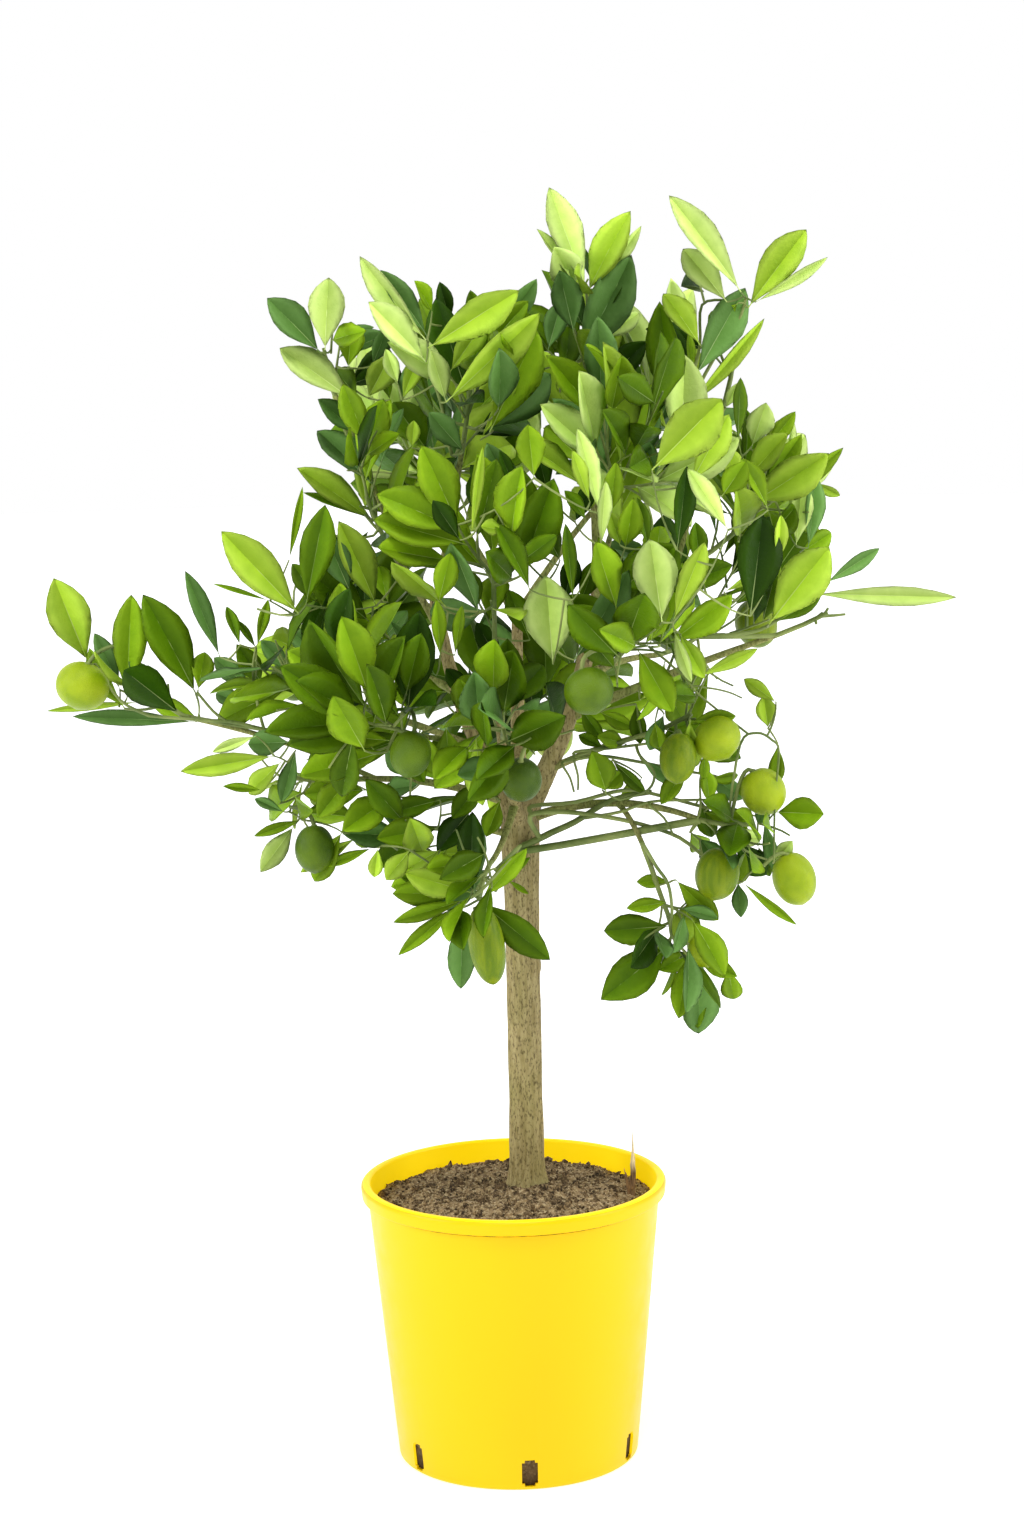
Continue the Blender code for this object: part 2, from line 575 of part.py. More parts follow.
def make_pot(collection, cutters):
    """The pot: the inside, over the rolled lip, down the outside, to the foot."""
    lip_bottom = POT_HEIGHT - LIP_HEIGHT
    profile = [(0.0, FLOOR), (FOOT_RADIUS - WALL, FLOOR), (SHOULDER_RADIUS - WALL, lip_bottom),
               (SHOULDER_RADIUS - WALL, POT_HEIGHT - 0.0015),
               (SHOULDER_RADIUS - WALL + 0.0015, POT_HEIGHT)]
    for step in range(3):
        angle = math.radians(90.0 - 45.0 * step)
        profile.append((LIP_RADIUS - LIP_ROUND + LIP_ROUND * math.cos(angle),
                        POT_HEIGHT - LIP_ROUND + LIP_ROUND * math.sin(angle)))
    profile += [(LIP_RADIUS - 0.0006, lip_bottom + 0.001), (LIP_RADIUS - 0.0016, lip_bottom),
                (SHOULDER_RADIUS, lip_bottom), (FOOT_RADIUS, FOOT_ROUND),
                (FOOT_RADIUS - 0.0010, FOOT_ROUND * 0.3), (FOOT_RADIUS - FOOT_ROUND, 0.0), (0.0, 0.0)]
    pot = turned("pot", profile, POT_SIDES, collection)
    slots = []
    for index in range(SLOT_COUNT):
        angle = FIRST_SLOT + index * math.tau / SLOT_COUNT
        slot = primitive(bpy.ops.mesh.primitive_cube_add, f"slot_cutter_{index + 1}", cutters,
                         size=1.0)
        slot.scale = (0.020, SLOT_WIDTH, SLOT_TOP - SLOT_BOTTOM)
        slot.rotation_euler.z = angle
        slot.location = (FOOT_RADIUS * math.cos(angle), FOOT_RADIUS * math.sin(angle),
                         (SLOT_BOTTOM + SLOT_TOP) / 2)
        slots.append(slot)
    cut(pot, slots)
    finish(pot, make_material("yellow_plastic", (0.98, 0.70, 0.0), 0.45))


def make_soil(collection, cutters):
    """The soil, clear of the pot all round, with a socket where the dry stub stands."""
    wall_slope = (SHOULDER_RADIUS - FOOT_RADIUS) / (POT_HEIGHT - LIP_HEIGHT - FLOOR)
    bottom = FLOOR + GAP
    foot = FOOT_RADIUS - WALL - 2 * GAP
    edge = foot + wall_slope * (SOIL_EDGE - bottom) - 2 * GAP
    profile = [(0.0, SOIL_TOP), (MOUND_RADIUS, SOIL_TOP), (edge, SOIL_EDGE), (foot, bottom),
               (0.0, bottom)]
    soil = turned("soil", profile, POT_SIDES, collection)
    socket = primitive(bpy.ops.mesh.primitive_cylinder_add, "stub_socket", cutters, vertices=10,
                       radius=STUB_RADIUS + 2 * GAP, depth=SOCKET_DEPTH)
    socket.location = STUB_FOOT + UP * (SOCKET_DEPTH / 2 - GAP)
    cut(soil, [socket])
    finish(soil, make_material("potting_soil", (0.10, 0.065, 0.04), 0.95))


def make_dry_stub(collection):
    """A tall splinter and a short shard, grown from one root and broken off."""
    lean = Vector((-0.004, 0.001, STUB_HEIGHT))
    stub = tube("dry_stub", [STUB_FOOT, STUB_FOOT + UP * 0.012, STUB_FOOT + UP * 0.028,
                             STUB_FOOT + lean],
                [STUB_RADIUS, STUB_RADIUS * 0.95, STUB_RADIUS * 0.6, STUB_RADIUS * 0.12], collection)
    side = Vector((-0.0065, -0.001, SHARD_HEIGHT))
    shard = tube("shard", [STUB_FOOT + UP * 0.010, STUB_FOOT + UP * 0.014 + side * 0.25,
                           STUB_FOOT + side],
                 [STUB_RADIUS * 0.5, STUB_RADIUS * 0.62, STUB_RADIUS * 0.15], collection)
    join = stub.modifiers.new("join", "BOOLEAN")
    join.operation = "UNION"
    join.object = shard
    apply_modifiers(stub)
    bpy.data.objects.remove(shard, do_unlink=True)
    finish(stub, make_material("dry_wood", (0.45, 0.33, 0.16), 0.8))


def make_trunk(collection):
    """The trunk, from its flat cut on the soil to the domed fork."""
    points = [TRUNK_FOOT + UP * height for height, _ in TRUNK_STATIONS]
    trunk = tube("trunk", points, [radius for _, radius in TRUNK_STATIONS], collection, TRUNK_ROUND)
    finish(trunk, make_material("trunk_bark", (0.36, 0.29, 0.14), 0.85))


def make_limb(name, limb, earlier, limbs, collection):
    """A limb that stands clear of the trunk and of the limbs made before it."""
    made = tube(name, limb.points, taper(limb), collection, 2 if name.startswith("leader") else 1)
    copies = []
    own = np.array(balls_along(*limb[:3]))
    for other in earlier:
        if other == "trunk":
            points = [TRUNK_FOOT + UP * height for height, _ in TRUNK_STATIONS]
            radii = [radius + GAP for _, radius in TRUNK_STATIONS]
            points[-1] = points[-1] + UP * GAP
            copies.append(tube("clear_of_trunk", points, radii, collection, TRUNK_ROUND))
        elif touches(np.array(balls_along(*limbs[other][:3])), own[:, :3], own[:, 3]):
            resolution = 2 if other.startswith("leader") else 1
            heading = spot(limbs[other].points, 1.0)[1]
            points = limbs[other].points[:-1] + [limbs[other].points[-1] + heading * GAP]
            copies.append(tube("clear_of_" + other, points, taper(limbs[other], GAP * 1.3),
                               collection, resolution))
    cut(made, copies)
    finish(made, make_material(name + "_bark", (0.30, 0.28, 0.11), 0.8))


def leaf_solid(leaf, collection):
    """A leaf: an eight-sided ball drawn out to a point at each end and folded in a V."""
    side, face, along = frame_of(leaf.along, leaf.face)
    bm = bmesh.new()
    bmesh.ops.create_uvsphere(bm, u_segments=4, v_segments=2, radius=1.0)
    for vert in bm.verts:
        out, up, run = vert.co
        share = LEAF_WIDEST if abs(run) < 0.5 else (run + 1) / 2
        vert.co = (leaf.base + along * (share * leaf.length) + side * (out * leaf.width / 2)
                   + face * (up * LEAF_THICKNESS * leaf.length / 2)
                   + face * (abs(out) * LEAF_FOLD * leaf.width / 2))
    return object_from(bm, "leaf", collection)


def fruit_solid(fruit, collection):
    """A fruit: a ball drawn out along its stalk's direction."""
    bm = bmesh.new()
    bmesh.ops.create_uvsphere(bm, u_segments=8, v_segments=4, radius=0.5)
    axis = Vector(fruit.stalk).normalized()
    turn = UP.rotation_difference(axis).to_matrix().to_4x4()
    size = Matrix.Diagonal((fruit.diameter, fruit.diameter, fruit.length, 1.0))
    bm.transform(Matrix.Translation(fruit.middle) @ turn @ size)
    return object_from(bm, "fruit", collection)


def make_mass(mass, twigs, stalks, leaves, section, collection, joining):
    """One foliage mass: its twigs, leaves and fruit joined into one solid."""
    stem = tube(mass.name, twigs[0].points, taper(twigs[0]), collection, section=section)
    for twig in twigs[1:] + stalks:
        tube("twig", twig.points, taper(twig), joining, section=section)
    for leaf in leaves:
        leaf_solid(leaf, joining)
    for fruit in FRUITS:
        if fruit.mass == mass.name:
            fruit_solid(fruit, joining)
    join = stem.modifiers.new("join", "BOOLEAN")
    join.operation = "UNION"
    join.operand_type = "COLLECTION"
    join.collection = joining
    join.solver = "MANIFOLD"
    apply_modifiers(stem)
    for piece in list(joining.objects):
        bpy.data.objects.remove(piece, do_unlink=True)
    shade = 0.7 + 0.5 * (mass.middle[2] - 0.4)
    finish(stem, make_material(mass.name + "_leaves", (0.16 * shade, 0.36 * shade, 0.05), 0.5),
           smooth=False)


def make_twig_section(cutters):
    """The three-sided outline that the twigs are drawn along."""
    curve = bpy.data.curves.new("twig_section", "CURVE")
    spline = curve.splines.new("POLY")
    spline.points.add(2)
    for k, point in enumerate(spline.points):
        angle = k * math.tau / 3
        point.co = (math.cos(angle), math.sin(angle), 0.0, 1.0)
    spline.use_cyclic_u = True
    section = bpy.data.objects.new("twig_section", curve)
    section.hide_render = True
    section.display_type = "WIRE"
    cutters.objects.link(section)
    return section


def grow_foliage(limbs):
    """Twigs of every mass first, then the fruit stalks, then leaves clear of them all."""
    limb_balls = [ball for limb in limbs.values() for ball in balls_along(*limb[:3])]
    twigs = {mass.name: grow_twigs(mass, limbs, np.array(limb_balls)) for mass in MASSES}
    stalks = {mass.name: [] for mass in MASSES}
    fruit_balls = []
    for fruit in FRUITS:
        stalk = grow_stalk(fruit, twigs[fruit.mass])
        stalks[fruit.mass].append(stalk)
        fruit_balls.append((*fruit.middle, max(fruit.diameter, fruit.length) / 2))
        fruit_balls += balls_along(stalk.points[1:], TWIG_RADIUS, TWIG_RADIUS)
    balls = np.array(limb_balls + fruit_balls)
    leaves = {mass.name: grow_leaves(mass, twigs[mass.name], balls) for mass in MASSES}
    return twigs, stalks, leaves


def main():
    clear_scene()
    collection = make_collection("limequat_tree")
    cutters = make_collection("cutters")
    joining = make_collection("joining")
    make_pot(collection, cutters)
    make_soil(collection, cutters)
    make_dry_stub(collection)
    make_trunk(collection)
    limbs = grow_limbs()
    names = list(limbs)
    for index, name in enumerate(names[1:], start=1):
        make_limb(name, limbs[name], names[:index], limbs, collection)
    twigs, stalks, leaves = grow_foliage(limbs)
    section = make_twig_section(cutters)
    for mass in MASSES:
        make_mass(mass, twigs[mass.name], stalks[mass.name], leaves[mass.name], section,
                  collection, joining)


main()
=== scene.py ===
"""Looks of a young limequat tree in a yellow nursery pot: the finish of every surface."""

import math
import random
from collections import namedtuple

import bmesh
import bpy
import numpy as np
from mathutils import Matrix, Vector, noise
from mathutils.geometry import interpolate_bezier


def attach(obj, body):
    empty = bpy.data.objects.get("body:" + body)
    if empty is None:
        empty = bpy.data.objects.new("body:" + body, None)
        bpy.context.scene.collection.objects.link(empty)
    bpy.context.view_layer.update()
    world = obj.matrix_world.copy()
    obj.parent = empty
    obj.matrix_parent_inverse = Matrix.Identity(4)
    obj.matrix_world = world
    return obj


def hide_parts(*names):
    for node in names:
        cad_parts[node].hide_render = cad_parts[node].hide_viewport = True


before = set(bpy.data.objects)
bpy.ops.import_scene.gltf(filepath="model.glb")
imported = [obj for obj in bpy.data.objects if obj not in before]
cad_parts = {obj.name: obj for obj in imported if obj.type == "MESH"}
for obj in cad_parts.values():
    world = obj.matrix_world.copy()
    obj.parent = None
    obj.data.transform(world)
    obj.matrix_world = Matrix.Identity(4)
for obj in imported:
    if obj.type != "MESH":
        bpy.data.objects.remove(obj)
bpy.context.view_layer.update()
UP = Vector((0.0, 0.0, 1.0))

# ------------------------------------------------------------------ pot
# The nursery pot: one piece of satin polypropylene, injection moulded with a rolled lip
# and a slot over each drain at its foot. The tree stands in it and it stands on the floor.

POT_HEIGHT = 0.222
POT_SIDES = 160
POT_WALL = 0.002
POT_FLOOR = 0.0025
FOOT_RADIUS = 0.095
SHOULDER_RADIUS = 0.1145
LIP_RADIUS = 0.120
LIP_HEIGHT = 0.0118
LIP_ROUND = 0.0038
LIP_GROOVE = 0.0012               # how deep the line under the lip is cut
FOOT_ROUND = 0.003
SLOT_COUNT = 6
SLOT_SIZE = (0.020, 0.0125, 0.022)
SLOT_MIDDLE = 0.014
FIRST_SLOT = math.radians(-85.0)
YELLOW = (0.890, 0.605, 0.0)
YELLOW_DEEP = (0.865, 0.560, 0.0)
# painted light: a lighter yellow for the inner wall and the lip's top
YELLOW_PAINTED_LIT = (0.960, 0.740, 0.020)
# painted shade: the dark brown of the groove under the lip
GROOVE_SHADE_TINT = (0.200, 0.120, 0.008)
PLASTIC_GLOSS = 0.18
GROOVE_BAND = 0.0016              # how far down from the lip the groove is painted with shade
PAINTED_WALL_GLOW = 0.50                  # painted light: how strongly the inner wall and the lip's top glow, in place of light through the thin wall
LIP_CROWN = 0.075                 # the painted glow ends where the lip's round turns outwards
FOOT_BAND = 0.01                  # and above the pot's foot


def put(name, mesh):
    """A new object, in the scene, that shows a mesh."""
    made = bpy.data.objects.new(name, mesh)
    bpy.context.scene.collection.objects.link(made)
    return made


def mesh_of(name, bm):
    """A new mesh of what a bmesh holds. The bmesh is let go."""
    mesh = bpy.data.meshes.new(name)
    bm.to_mesh(mesh)
    bm.free()
    return mesh


def corner(middle_r, middle_z, radius, start, end, steps):
    """Points (r, z) round a corner of a profile, from one angle to another in degrees."""
    points = []
    for step in range(steps + 1):
        angle = math.radians(start + (end - start) * step / steps)
        points.append((middle_r + radius * math.cos(angle), middle_z + radius * math.sin(angle)))
    return points


def turned(name, profile, sides):
    """A closed mesh turned about Z from a profile that starts and ends on the axis."""
    bm = bmesh.new()
    verts = [bm.verts.new((radius, 0.0, height)) for radius, height in profile]
    edges = [bm.edges.new(pair) for pair in zip(verts, verts[1:])]
    bmesh.ops.spin(bm, geom=verts + edges, axis=UP, cent=(0.0, 0.0, 0.0), angle=math.tau,
                   steps=sides, use_merge=True)
    bmesh.ops.remove_doubles(bm, verts=bm.verts, dist=0.00002)
    bmesh.ops.recalc_face_normals(bm, faces=bm.faces)
    return put(name, mesh_of(name, bm))


def baked(made):
    """Replaces an object's mesh by what its modifiers make of it, and drops them."""
    graph = bpy.context.evaluated_depsgraph_get()
    mesh = bpy.data.meshes.new_from_object(made.evaluated_get(graph))
    made.modifiers.clear()
    made.data = mesh
    return made


def shader_of(material):
    """A material's shader."""
    return material.node_tree.nodes["Principled BSDF"]


def finish_of(name, colour, roughness, gloss=0.5):
    """A material with a plain colour, roughness and strength of gloss."""
    material = bpy.data.materials.new(name)
    material.use_nodes = True
    shader = shader_of(material)
    shader.inputs["Base Color"].default_value = (*colour, 1.0)
    shader.inputs["Roughness"].default_value = roughness
    shader.inputs["Specular IOR Level"].default_value = gloss
    return material


def feed(material, label, source):
    """Links a colour or a value to an input of a material's shader."""
    material.node_tree.links.new(source, shader_of(material).inputs[label])


def node_tree(name, kind, inputs, output):
    """A node tree with inputs by name, of a kind and with a first value, and one output.
    Gives back the tree and its two ends."""
    tree = bpy.data.node_groups.new(name, kind)
    for label, (sort, *value) in inputs.items():
        socket = tree.interface.new_socket(label, in_out="INPUT", socket_type="NodeSocket" + sort)
        if value:
            socket.default_value = value[0]
    tree.interface.new_socket(output[0], in_out="OUTPUT", socket_type="NodeSocket" + output[1])
    return tree, tree.nodes.new("NodeGroupInput"), tree.nodes.new("NodeGroupOutput")


def wire(tree, *wires):
    """Links nodes in a tree. Each wire is a node, its output, another node and its input."""
    for giver, given, taker, taken in wires:
        tree.links.new(giver.outputs[given], taker.inputs[taken])


def mottle_group():
    """Soft patches: a noise of a given scale, spread between two levels."""
    group, inside, outside = node_tree("mottle", "ShaderNodeTree", {
        "Vector": ("Vector",), "Scale": ("Float", 10.0), "Detail": ("Float", 3.0),
        "Low": ("Float", 0.35), "High": ("Float", 0.65)}, ("Mask", "Float"))
    cloud = group.nodes.new("ShaderNodeTexNoise")
    spread = group.nodes.new("ShaderNodeMapRange")
    wire(group, (inside, "Vector", cloud, "Vector"), (inside, "Scale", cloud, "Scale"),
         (inside, "Detail", cloud, "Detail"), (cloud, "Fac", spread, "Value"),
         (inside, "Low", spread, "From Min"), (inside, "High", spread, "From Max"),
         (spread, "Result", outside, "Mask"))
    return group


MOTTLE = mottle_group()


def mottled(material, scale, detail=3.0, low=0.35, high=0.65, stretch=(1.0, 1.0, 1.0), turn=0.0):
    """The mottle effect on a material's own space, stretched; gives back its mask."""
    nodes, links = material.node_tree.nodes, material.node_tree.links
    place = nodes.new("ShaderNodeTexCoord")
    aim = nodes.new("ShaderNodeMapping")
    aim.inputs["Scale"].default_value = stretch
    aim.inputs["Rotation"].default_value = (turn, 0.0, 0.0)
    patches = nodes.new("ShaderNodeGroup")
    patches.node_tree = MOTTLE
    patches.inputs["Scale"].default_value = scale
    patches.inputs["Detail"].default_value = detail
    patches.inputs["Low"].default_value = low
    patches.inputs["High"].default_value = high
    links.new(place.outputs["Object"], aim.inputs["Vector"])
    links.new(aim.outputs["Vector"], patches.inputs["Vector"])
    return patches.outputs["Mask"]


def between(material, mask, first, second, how="MIX"):
    """A colour that goes from the first to the second with a mask. Each is a tint, or a
    socket that gives one."""
    blend = material.node_tree.nodes.new("ShaderNodeMix")
    blend.data_type = "RGBA"
    blend.blend_type = how
    for label, colour in (("A", first), ("B", second)):
        if isinstance(colour, tuple):
            blend.inputs[label].default_value = (*colour, 1.0)
        else:
            material.node_tree.links.new(colour, blend.inputs[label])
    material.node_tree.links.new(mask, blend.inputs["Factor"])
    return blend.outputs["Result"]


def ranged(material, mask, low, high):
    """A mask spread from a low to a high value."""
    nodes, links = material.node_tree.nodes, material.node_tree.links
    spread = nodes.new("ShaderNodeMapRange")
    spread.inputs["To Min"].default_value = low
    spread.inputs["To Max"].default_value = high
    links.new(mask, spread.inputs["Value"])
    return spread.outputs["Result"]


def by_height(material, low, high):
    """A mask that goes from nothing to full between two heights."""
    nodes = material.node_tree.nodes
    place, split = nodes.new("ShaderNodeTexCoord"), nodes.new("ShaderNodeSeparateXYZ")
    rise = nodes.new("ShaderNodeMapRange")
    rise.inputs["From Min"].default_value = low
    rise.inputs["From Max"].default_value = high
    wire(material.node_tree, (place, "Object", split, "Vector"), (split, "Z", rise, "Value"))
    return rise.outputs["Result"]


def raised(material, mask, height):
    """Relief of a given height in metres from a mask, on the material's shader."""
    bump = material.node_tree.nodes.new("ShaderNodeBump")
    bump.inputs["Distance"].default_value = height
    material.node_tree.links.new(mask, bump.inputs["Height"])
    feed(material, "Normal", bump.outputs["Normal"])


lip_bottom = POT_HEIGHT - LIP_HEIGHT
lip_inner = SHOULDER_RADIUS - POT_WALL
pot_profile = [(0.0, POT_FLOOR), (FOOT_RADIUS - POT_WALL - 0.002, POT_FLOOR)]
pot_profile += corner(FOOT_RADIUS - POT_WALL - 0.002, POT_FLOOR + 0.002, 0.002, -90, 0, 4)
pot_profile += [(lip_inner, lip_bottom)]
pot_profile += corner(lip_inner + 0.0018, POT_HEIGHT - 0.0018, 0.0018, 180, 90, 6)
pot_profile += corner(LIP_RADIUS - LIP_ROUND, POT_HEIGHT - LIP_ROUND, LIP_ROUND, 90, 0, 9)
pot_profile += corner(LIP_RADIUS - 0.0021, lip_bottom + 0.0014, 0.0014, -8, -90, 6)
pot_profile += [(SHOULDER_RADIUS + 0.0006, lip_bottom + 0.0001),
                (SHOULDER_RADIUS - LIP_GROOVE, lip_bottom - 0.0003),
                (SHOULDER_RADIUS - LIP_GROOVE, lip_bottom - 0.0012),
                (SHOULDER_RADIUS - 0.0001, lip_bottom - 0.0017)]
pot_profile += corner(FOOT_RADIUS - FOOT_ROUND, FOOT_ROUND, FOOT_ROUND, -5, -90, 6)
pot_profile += [(0.0, 0.0)]
pot_shell = turned("pot_shell", pot_profile, POT_SIDES)
bm = bmesh.new()
bmesh.ops.create_cube(bm, size=1.0)
bmesh.ops.scale(bm, vec=SLOT_SIZE, verts=bm.verts)
bmesh.ops.bevel(bm, geom=[edge for edge in bm.edges
                          if abs(edge.verts[0].co.x - edge.verts[1].co.x) > 0.01],
                offset=0.0022, segments=4, affect="EDGES")
bmesh.ops.translate(bm, vec=(FOOT_RADIUS, 0.0, SLOT_MIDDLE), verts=bm.verts)
slot_block = mesh_of("slot_block", bm)
bm = bmesh.new()
for k in range(SLOT_COUNT):
    block = slot_block.copy()
    block.transform(Matrix.Rotation(FIRST_SLOT + k * math.tau / SLOT_COUNT, 4, "Z"))
    bm.from_mesh(block)
slots = put("slots", mesh_of("slot_cutter", bm))
opening = pot_shell.modifiers.new("slots", "BOOLEAN")
opening.operation = "DIFFERENCE"
opening.object = slots
baked(pot_shell)
bpy.data.objects.remove(slots, do_unlink=True)
pot_shell.data.shade_smooth()
pot_shell.data.set_sharp_from_angle(angle=math.radians(42.0))

plastic = finish_of("yellow_plastic", YELLOW, 0.34, PLASTIC_GLOSS)
flow = mottled(plastic, 7.0, 2.0, 0.3, 0.7, stretch=(1.0, 1.0, 0.35))
feed(plastic, "Base Color", between(plastic, flow, YELLOW, YELLOW_DEEP))
feed(plastic, "Roughness", ranged(plastic, mottled(plastic, 60.0), 0.30, 0.42))
raised(plastic, mottled(plastic, 900.0, 2.0, 0.2, 0.8), 0.00002)
# Painted light: the inner wall and the lip's top get a lighter yellow and a yellow glow.
inner = finish_of("yellow_plastic_inside", YELLOW_PAINTED_LIT, 0.40, PLASTIC_GLOSS)
feed(inner, "Base Color", between(inner, mottled(inner, 9.0, 2.0, 0.3, 0.7), YELLOW_PAINTED_LIT, YELLOW))
shader_of(inner).inputs["Emission Color"].default_value = (*YELLOW, 1.0)
shader_of(inner).inputs["Emission Strength"].default_value = PAINTED_WALL_GLOW
# Painted shade: a dark brown line in the groove under the lip, where the lip's shadow falls.
groove_shade = finish_of("groove_dust", GROOVE_SHADE_TINT, 0.8)
feed(groove_shade, "Base Color", between(groove_shade, mottled(groove_shade, 160.0), GROOVE_SHADE_TINT, YELLOW_DEEP))
pot_shell.data.materials.clear()
for finish in (plastic, inner, groove_shade):
    pot_shell.data.materials.append(finish)
for face in pot_shell.data.polygons:
    out = face.center.x * face.normal.x + face.center.y * face.normal.y
    # the groove under the lip: painted shade
    if -GROOVE_BAND < face.center.z - lip_bottom < 0.0:
        face.material_index = 2
    # the inner wall and the lip's top: painted glow
    elif out < LIP_CROWN and face.normal.z > -0.2 and face.center.z > FOOT_BAND:
        face.material_index = 1
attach(pot_shell, "root")
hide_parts("pot")

# ------------------------------------------------------------------ soil
# Potting mix of peat and bark fines, watered in: a lumpy bed a little below the lip, with
# loose crumbs and clods on it. It fills the pot and holds the stem.

SOIL_TOP = 0.2145
SOIL_EDGE = 0.2035
SOIL_GAP = 0.0008                 # between the bed and the pot
BED_DROP = 0.006                  # faces further below the edge than this are the bed's side
SOIL_RINGS = 44
SOIL_SPOKES = 150
CRUMBS_PER_M2 = 70000.0
CRUMB_RADIUS = 0.00115
BITS_PER_M2 = 21000.0
BIT_RADIUS = 0.0019
CLODS_PER_M2 = 3200.0
CLOD_RADIUS = 0.0042
CLOD_SPREAD = 1.4                 # how far the longest clod reaches, of its radius
SURFACE_MARGIN = 0.0015
GRAINS_PER_M2 = 12000.0
GRAIN_RADIUS = 0.0009
SOIL_DARK = (0.090, 0.055, 0.026)
SOIL_MID = (0.330, 0.230, 0.115)
SOIL_PALE = (0.560, 0.440, 0.260)
CLOD_DARK = (0.030, 0.020, 0.011)
CLOD_MID = (0.130, 0.088, 0.046)
GRAIN_PALE = (0.75, 0.60, 0.38)
SOIL_DAMP = (0.060, 0.036, 0.016)
DAMP_BELOW = 0.0                  # how high up the bed the water stands and how high it wicks
DRY_ABOVE = 0.080
wall_slope = (SHOULDER_RADIUS - FOOT_RADIUS) / (lip_bottom - POT_FLOOR)


def pot_inside(height):
    """The radius of the pot's inner wall at a height."""
    return FOOT_RADIUS - POT_WALL + wall_slope * (height - POT_FLOOR)


def soil_height(x, y):
    """The lumpy surface: a low mound, waves, and clods over them."""
    out = math.hypot(x, y) / pot_inside(SOIL_EDGE)
    mound = SOIL_EDGE + (SOIL_TOP - SOIL_EDGE) * (1.0 - out ** 2.4)
    here = Vector((x, y, 0.0))
    waves = 0.0030 * noise.noise(here * 28.0)
    lumps = 0.0026 * noise.fractal(here * 120.0, 0.9, 2.2, 4)
    return mound + waves + lumps


def soil_bed():
    """The closed bed: the surface in rings, then down the wall to the floor."""
    bm = bmesh.new()
    rings = []
    for ring in range(1, SOIL_RINGS + 1):
        radius = (pot_inside(SOIL_EDGE) - SOIL_GAP) * ring / SOIL_RINGS
        row = []
        for k in range(SOIL_SPOKES):
            angle = math.tau * k / SOIL_SPOKES
            x, y = radius * math.cos(angle), radius * math.sin(angle)
            row.append(bm.verts.new((x, y, soil_height(x, y))))
        rings.append(row)
    foot = FOOT_RADIUS - POT_WALL - SOIL_GAP
    rings.append([bm.verts.new((foot * math.cos(math.tau * k / SOIL_SPOKES),
                                foot * math.sin(math.tau * k / SOIL_SPOKES),
                                POT_FLOOR + SOIL_GAP)) for k in range(SOIL_SPOKES)])
    middle = bm.verts.new((0.0, 0.0, soil_height(0.0, 0.0)))
    under = bm.verts.new((0.0, 0.0, POT_FLOOR + SOIL_GAP))
    for k in range(SOIL_SPOKES):
        n = (k + 1) % SOIL_SPOKES
        bm.faces.new((middle, rings[0][k], rings[0][n]))
        for inner, outer in zip(rings, rings[1:]):
            bm.faces.new((inner[k], outer[k], outer[n], inner[n]))
        bm.faces.new((rings[-1][k], under, rings[-1][n]))
    mesh = mesh_of("soil_bed", bm)
    mesh.shade_smooth()
    return put("soil_bed", mesh)


def scatter_tree():
    """Small rough lumps, spread over the upper faces of a surface."""
    tree, inside, outside = node_tree("scatter_lumps", "GeometryNodeTree", {
        "Geometry": ("Geometry",), "Density": ("Float", 1000.0), "Radius": ("Float", 0.001),
        "Roughness": ("Float", 0.5), "Seed": ("Int",), "Material": ("Material",)},
        ("Geometry", "Geometry"))
    new = tree.nodes.new
    spread = new("GeometryNodeDistributePointsOnFaces")
    normal, split = new("GeometryNodeInputNormal"), new("ShaderNodeSeparateXYZ")
    upward, lump = new("FunctionNodeCompare"), new("GeometryNodeMeshIcoSphere")
    upward.inputs["B"].default_value = 0.3
    lump.inputs["Subdivisions"].default_value = 1
    turn, size = new("FunctionNodeRandomValue"), new("FunctionNodeRandomValue")
    turn.data_type = size.data_type = "FLOAT_VECTOR"
    turn.inputs["Max"].default_value = (math.tau, math.tau, math.tau)
    size.inputs["Min"].default_value = (0.35, 0.35, 0.30)
    size.inputs["Max"].default_value = (1.5, 1.1, 0.9)
    place, real = new("GeometryNodeInstanceOnPoints"), new("GeometryNodeRealizeInstances")
    shove, cloud = new("GeometryNodeSetPosition"), new("ShaderNodeTexNoise")
    cloud.inputs["Scale"].default_value = 900.0
    middle, offset = new("ShaderNodeVectorMath"), new("ShaderNodeVectorMath")
    reach, paint = new("ShaderNodeMath"), new("GeometryNodeSetMaterial")
    middle.operation, offset.operation, reach.operation = "SUBTRACT", "SCALE", "MULTIPLY"
    middle.inputs[1].default_value = (0.5, 0.5, 0.5)
    wire(tree, (inside, "Geometry", spread, "Mesh"), (inside, "Density", spread, "Density"),
         (inside, "Seed", spread, "Seed"), (normal, "Normal", split, "Vector"),
         (split, "Z", upward, "A"), (upward, "Result", spread, "Selection"),
         (inside, "Radius", lump, "Radius"), (spread, "Points", place, "Points"),
         (lump, "Mesh", place, "Instance"), (turn, "Value", place, "Rotation"),
         (size, "Value", place, "Scale"), (place, "Instances", real, "Geometry"),
         (inside, "Radius", reach, 0), (inside, "Roughness", reach, 1),
         (cloud, "Color", middle, 0), (middle, "Vector", offset, 0),
         (reach, "Value", offset, "Scale"), (real, "Geometry", shove, "Geometry"),
         (offset, "Vector", shove, "Offset"), (shove, "Geometry", paint, "Geometry"),
         (inside, "Material", paint, "Material"), (paint, "Geometry", outside, "Geometry"))
    return tree


def made_by(tree, name, mesh, **values):
    """An object made by a node tree on a mesh, with the tree's inputs set by name."""
    made = put(name, mesh)
    step = made.modifiers.new("make", "NODES")
    step.node_group = tree
    sockets = {item.name: item.identifier for item in tree.interface.items_tree
               if item.in_out == "INPUT"}
    for label, value in values.items():
        step[sockets[label]] = value
    return baked(made)


